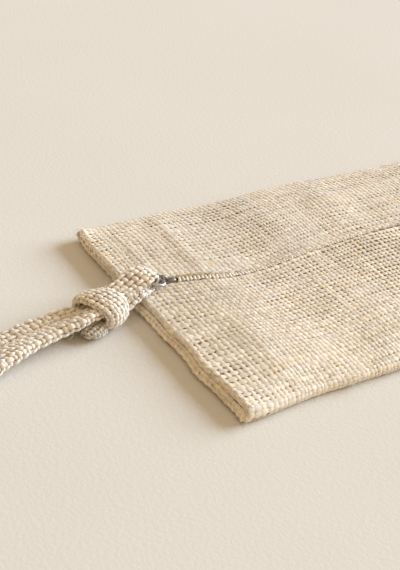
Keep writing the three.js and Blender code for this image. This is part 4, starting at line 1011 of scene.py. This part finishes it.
# a few loose ends of yarn stick out of the front fold
m = 9
P2, N2 = facing(pouch, rf.uniform(22.5, 28.5, m), rf.uniform(G[2] + 0.6, G[2] + 2.6, m), **LIM)
V2, F2 = fibres(None, P2 - N2 * 0.3, N2, rf.uniform(3.0, 6.0, m), rf.uniform(0.15, 0.7, m), radius=0.085)
V2[..., 2] = np.maximum(V2[..., 2], 0.09)
F = np.concatenate([F.reshape(-1, 4), F2.reshape(-1, 4) + V.size // 3])
V = np.concatenate([V.reshape(-1, 3), V2.reshape(-1, 3)])
fuzz_pouch = new_mesh("fuzz_pouch", world(V), F)
parts_v, parts_f, cnt = [], [], 0
for S, L, m in ((strip_surface(LOOP, LOOP_SIDE)[0], L_loop, 230), (strip_surface(TAIL_FRONT)[0], 62, 330), (strip_surface(TAIL_BACK)[0], 56, 190),
                (S_knot, 9.5, 150)):
    P, N = facing(S, rf.uniform(2, L - 2, m), rf.uniform(0, 1, m), h=0.004)
    N = np.where(N[:, 2:] < -0.3, -N, N)
    V, F = fibres(None, P, N, rf.uniform(1.0, 3.4, m), rf.uniform(0.1, 0.5, m))
    V[..., 2] = np.maximum(V[..., 2], 0.03)
    parts_v.append(V.reshape(-1, 3)); parts_f.append(F + cnt); cnt += V.size // 3
fuzz_strap = new_mesh("fuzz_strap", world(np.concatenate(parts_v)), np.concatenate(parts_f))


# ------------------------------------------------------------------ materials
def nodes_of(name):
    m = bpy.data.materials.new(name)
    m.use_nodes = True
    nt = m.node_tree
    nt.nodes.clear()
    out = nt.nodes.new("ShaderNodeOutputMaterial")
    bsdf = nt.nodes.new("ShaderNodeBsdfPrincipled")
    nt.links.new(bsdf.outputs[0], out.inputs["Surface"])
    return m, nt, bsdf


def node(nt, kind, **props):
    nd = nt.nodes.new(kind)
    for k_, v_ in props.items():
        if k_ in ("inputs",):
            for a_, b_ in v_.items():
                nd.inputs[a_].default_value = b_
        else:
            setattr(nd, k_, v_)
    return nd


def linen(name, gain=(1.0, 1.0, 1.0), rough=0.88, bump=0.5, contrast=1.0):
    """Spun linen: the yarn's own tint, with streaks of twisted fibres along it."""
    m, nt, bsdf = nodes_of(name)
    uv = node(nt, "ShaderNodeUVMap", uv_map="fibre")
    tint = node(nt, "ShaderNodeAttribute", attribute_name="tint", attribute_type="GEOMETRY")
    tw = node(nt, "ShaderNodeMapping", vector_type="POINT")     # fibres lie slantwise round the yarn
    tw.inputs["Rotation"].default_value = (0, 0, math.radians(24))
    tw.inputs["Scale"].default_value = (0.55, 5.2, 1.0)
    nt.links.new(uv.outputs[0], tw.inputs["Vector"])
    n1 = node(nt, "ShaderNodeTexNoise", noise_dimensions="2D", inputs={"Scale": 1.0, "Detail": 3.0, "Roughness": 0.6})
    nt.links.new(tw.outputs[0], n1.inputs["Vector"])
    co = node(nt, "ShaderNodeTexCoord")
    n2 = node(nt, "ShaderNodeTexNoise", noise_dimensions="3D", inputs={"Scale": 900.0, "Detail": 2.0, "Roughness": 0.5})
    nt.links.new(co.outputs["Object"], n2.inputs["Vector"])
    r1 = node(nt, "ShaderNodeMapRange", inputs={"From Min": 0.3, "From Max": 0.7, "To Min": 1 - 0.22 * contrast, "To Max": 1 + 0.12 * contrast})
    nt.links.new(n1.outputs["Fac"], r1.inputs["Value"])
    r2 = node(nt, "ShaderNodeMapRange", inputs={"From Min": 0.3, "From Max": 0.7, "To Min": 1 - 0.10 * contrast, "To Max": 1 + 0.06 * contrast})
    nt.links.new(n2.outputs["Fac"], r2.inputs["Value"])
    mul = node(nt, "ShaderNodeMath", operation="MULTIPLY")
    nt.links.new(r1.outputs[0], mul.inputs[0]); nt.links.new(r2.outputs[0], mul.inputs[1])
    sc = node(nt, "ShaderNodeVectorMath", operation="SCALE")
    nt.links.new(tint.outputs["Color"], sc.inputs[0]); nt.links.new(mul.outputs[0], sc.inputs["Scale"])
    g_ = node(nt, "ShaderNodeVectorMath", operation="MULTIPLY")
    g_.inputs[1].default_value = gain
    nt.links.new(sc.outputs[0], g_.inputs[0])
    nt.links.new(g_.outputs[0], bsdf.inputs["Base Color"])
    bp = node(nt, "ShaderNodeBump", inputs={"Strength": bump, "Distance": 0.00012})
    nt.links.new(n1.outputs["Fac"], bp.inputs["Height"])
    nt.links.new(bp.outputs[0], bsdf.inputs["Normal"])
    bsdf.inputs["Roughness"].default_value = rough
    bsdf.inputs["Specular IOR Level"].default_value = 0.25
    bsdf.inputs["Sheen Weight"].default_value = 0.12
    bsdf.inputs["Sheen Roughness"].default_value = 0.5
    return m


def plain_noise(name, a, b, scale, rough, metallic=0.0, bump=0.2, distance=0.0001, stretch=(1, 1, 1), spec=0.3):
    m, nt, bsdf = nodes_of(name)
    co = node(nt, "ShaderNodeTexCoord")
    mp = node(nt, "ShaderNodeMapping")
    mp.inputs["Scale"].default_value = stretch
    nt.links.new(co.outputs["Object"], mp.inputs["Vector"])
    nz = node(nt, "ShaderNodeTexNoise", inputs={"Scale": scale, "Detail": 4.0, "Roughness": 0.55})
    nt.links.new(mp.outputs[0], nz.inputs["Vector"])
    cr = node(nt, "ShaderNodeValToRGB")
    cr.color_ramp.elements[0].position, cr.color_ramp.elements[1].position = 0.3, 0.7
    cr.color_ramp.elements[0].color, cr.color_ramp.elements[1].color = (*a, 1), (*b, 1)
    nt.links.new(nz.outputs["Fac"], cr.inputs["Fac"])
    nt.links.new(cr.outputs[0], bsdf.inputs["Base Color"])
    bp = node(nt, "ShaderNodeBump", inputs={"Strength": bump, "Distance": distance})
    nt.links.new(nz.outputs["Fac"], bp.inputs["Height"])
    nt.links.new(bp.outputs[0], bsdf.inputs["Normal"])
    bsdf.inputs["Roughness"].default_value = rough
    bsdf.inputs["Metallic"].default_value = metallic
    bsdf.inputs["Specular IOR Level"].default_value = spec
    return m


M_LINEN = linen("linen_yarn", gain=(0.99, 0.99, 1.01), bump=0.35, contrast=0.6)
# painted light: the strap's linen has a higher gain than the pouch's to make up for the shade on the knot and tails
M_STRAP = linen("strap_yarn", gain=(1.08, 1.115, 1.20), bump=0.4, contrast=0.9)
M_COIL = linen("coil_wire", rough=0.5, bump=0.05, contrast=0.4)
# painted shade: the dark brown of the sheets under the yarns stands for the shade in the weave's holes
M_HOLE_SHADE = plain_noise("painted_hole_shade", (0.40, 0.265, 0.14), (0.54, 0.385, 0.22), 700, 0.95, bump=0.4)
M_FUZZ = plain_noise("loose_fibre", (0.80, 0.70, 0.52), (0.92, 0.86, 0.74), 60, 0.7, bump=0.0)
M_TAPE = plain_noise("zip_tape_cloth", (0.62, 0.51, 0.36), (0.76, 0.65, 0.49), 1400, 0.85, bump=0.5)
M_RING = plain_noise("ring_steel", (0.44, 0.43, 0.415), (0.54, 0.53, 0.515), 500, 0.36, metallic=1.0, bump=0.06, stretch=(1, 1, 4), spec=0.5)
M_SLIDER = plain_noise("slider_steel", (0.24, 0.23, 0.22), (0.33, 0.32, 0.305), 600, 0.45, metallic=0.95, bump=0.08, spec=0.5)


def dress(o, m):
    o.data.materials.clear()
    o.data.materials.append(m)


for o in pieces.values():
    dress(o, M_LINEN)
for o in (strap_loop, strap_front, strap_back, strap_knot):
    dress(o, M_STRAP)
dress(pouch_sheet, M_HOLE_SHADE); dress(strap_sheet, M_HOLE_SHADE)
dress(fuzz_pouch, M_FUZZ); dress(fuzz_strap, M_FUZZ)
dress(zip_tape, M_TAPE); dress(zip_coil, M_COIL); dress(ring_wire, M_RING)
dress(slider_body, M_SLIDER)

# ------------------------------------------------------------------ which piece stands for what
for o in pieces.values():
    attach(o, "root")
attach(pouch_sheet, "root"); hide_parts("pouch_cloth")
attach(fuzz_pouch, "root")
for o in (strap_loop, strap_front, strap_back, strap_knot, fuzz_strap):
    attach(o, "root")
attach(strap_sheet, "root"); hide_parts("strap")
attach(zip_tape, "root"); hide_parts("zip_chain")
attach(zip_coil, "root")
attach(slider_body, "root"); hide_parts("zip_slider")
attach(ring_wire, "root"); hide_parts("pull_ring")

# ------------------------------------------------------------------ floor, light, camera
fl = new_mesh("floor", np.array([[-3, -3, 0], [3, -3, 0], [3, 3, 0], [-3, 3, 0]]), np.array([[0, 1, 2, 3]]), smooth=False)
fl.location.z = -0.00002
m, nt, bsdf = nodes_of("floor_plaster")
co = node(nt, "ShaderNodeTexCoord")
nz = node(nt, "ShaderNodeTexNoise", inputs={"Scale": 620.0, "Detail": 3.0, "Roughness": 0.6})
nz2 = node(nt, "ShaderNodeTexNoise", inputs={"Scale": 9.0, "Detail": 2.0, "Roughness": 0.5})
nt.links.new(co.outputs["Object"], nz.inputs["Vector"]); nt.links.new(co.outputs["Object"], nz2.inputs["Vector"])
cr = node(nt, "ShaderNodeValToRGB")
cr.color_ramp.elements[0].position, cr.color_ramp.elements[1].position = 0.3, 0.7
cr.color_ramp.elements[0].color, cr.color_ramp.elements[1].color = (0.716, 0.672, 0.598, 1), (0.736, 0.692, 0.618, 1)
nt.links.new(nz2.outputs["Fac"], cr.inputs["Fac"]); nt.links.new(cr.outputs[0], bsdf.inputs["Base Color"])
bp = node(nt, "ShaderNodeBump", inputs={"Strength": 0.32, "Distance": 0.0003})
nt.links.new(nz.outputs["Fac"], bp.inputs["Height"]); nt.links.new(bp.outputs[0], bsdf.inputs["Normal"])
bsdf.inputs["Roughness"].default_value = 0.9
bsdf.inputs["Specular IOR Level"].default_value = 0.1
dress(fl, m)

w = bpy.data.worlds.new("studio")
bpy.context.scene.world = w
w.use_nodes = True
bg = next(n_ for n_ in w.node_tree.nodes if n_.type == "BACKGROUND")
bg.inputs["Color"].default_value = (1.0, 0.80, 0.56, 1)
bg.inputs["Strength"].default_value = 0.62

az, el, dist = math.radians(-4), math.radians(21), 13.0
key = bpy.data.lights.new("key", "AREA")
key.shape, key.size, key.size_y = "RECTANGLE", 9.5, 5.5
key.energy, key.color = 3530.0, (0.70, 0.83, 1.0)
ko = bpy.data.objects.new("key", key)
bpy.context.scene.collection.objects.link(ko)
kd = np.array([math.cos(el) * math.cos(az), math.cos(el) * math.sin(az), math.sin(el)])
zax, xax = kd, unit(np.cross([0, 0, 1.0], kd))
yax = np.cross(zax, xax)
km = Matrix.Identity(4)
for r_ in range(3):
    km[r_][0], km[r_][1], km[r_][2], km[r_][3] = xax[r_], yax[r_], zax[r_], (kd * dist)[r_]
ko.matrix_world = km

cam = bpy.data.cameras.new("camera")
cam.sensor_fit, cam.sensor_width, cam.lens = "HORIZONTAL", 36.0, 36.0 * 1290.24 / 400.0
cam.clip_start, cam.clip_end = 0.01, 20.0
cobj = bpy.data.objects.new("camera", cam)
bpy.context.scene.collection.objects.link(cobj)
yaw, pitch_, roll_ = math.radians(34.959), math.radians(32.460), math.radians(-6.381)
bvec, avec, upv = np.array([math.sin(yaw), math.cos(yaw), 0]), np.array([math.cos(yaw), -math.sin(yaw), 0]), np.array([0, 0, 1.0])
fwd = math.cos(pitch_) * bvec - math.sin(pitch_) * upv
ydn = -math.sin(pitch_) * bvec - math.cos(pitch_) * upv
right = math.cos(roll_) * avec + math.sin(roll_) * ydn
down = -math.sin(roll_) * avec + math.cos(roll_) * ydn
place = (np.array([-208.39, -268.03, 267.37]) - ORIGIN) * 0.001
cm = Matrix.Identity(4)
for r_ in range(3):
    cm[r_][0], cm[r_][1], cm[r_][2], cm[r_][3] = right[r_], -down[r_], -fwd[r_], place[r_]
cobj.matrix_world = cm
bpy.context.scene.camera = cobj
bpy.context.scene.view_settings.view_transform = "Standard"
bpy.context.scene.view_settings.look = "None"

tris = {o.name: sum(len(p.vertices) - 2 for p in o.data.polygons) if len(o.data.polygons) < 30000 else 2 * len(o.data.polygons)
        for o in bpy.context.scene.objects if o.type == "MESH" and "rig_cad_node" not in o}
print("triangles", tris, "all", sum(tris.values()))
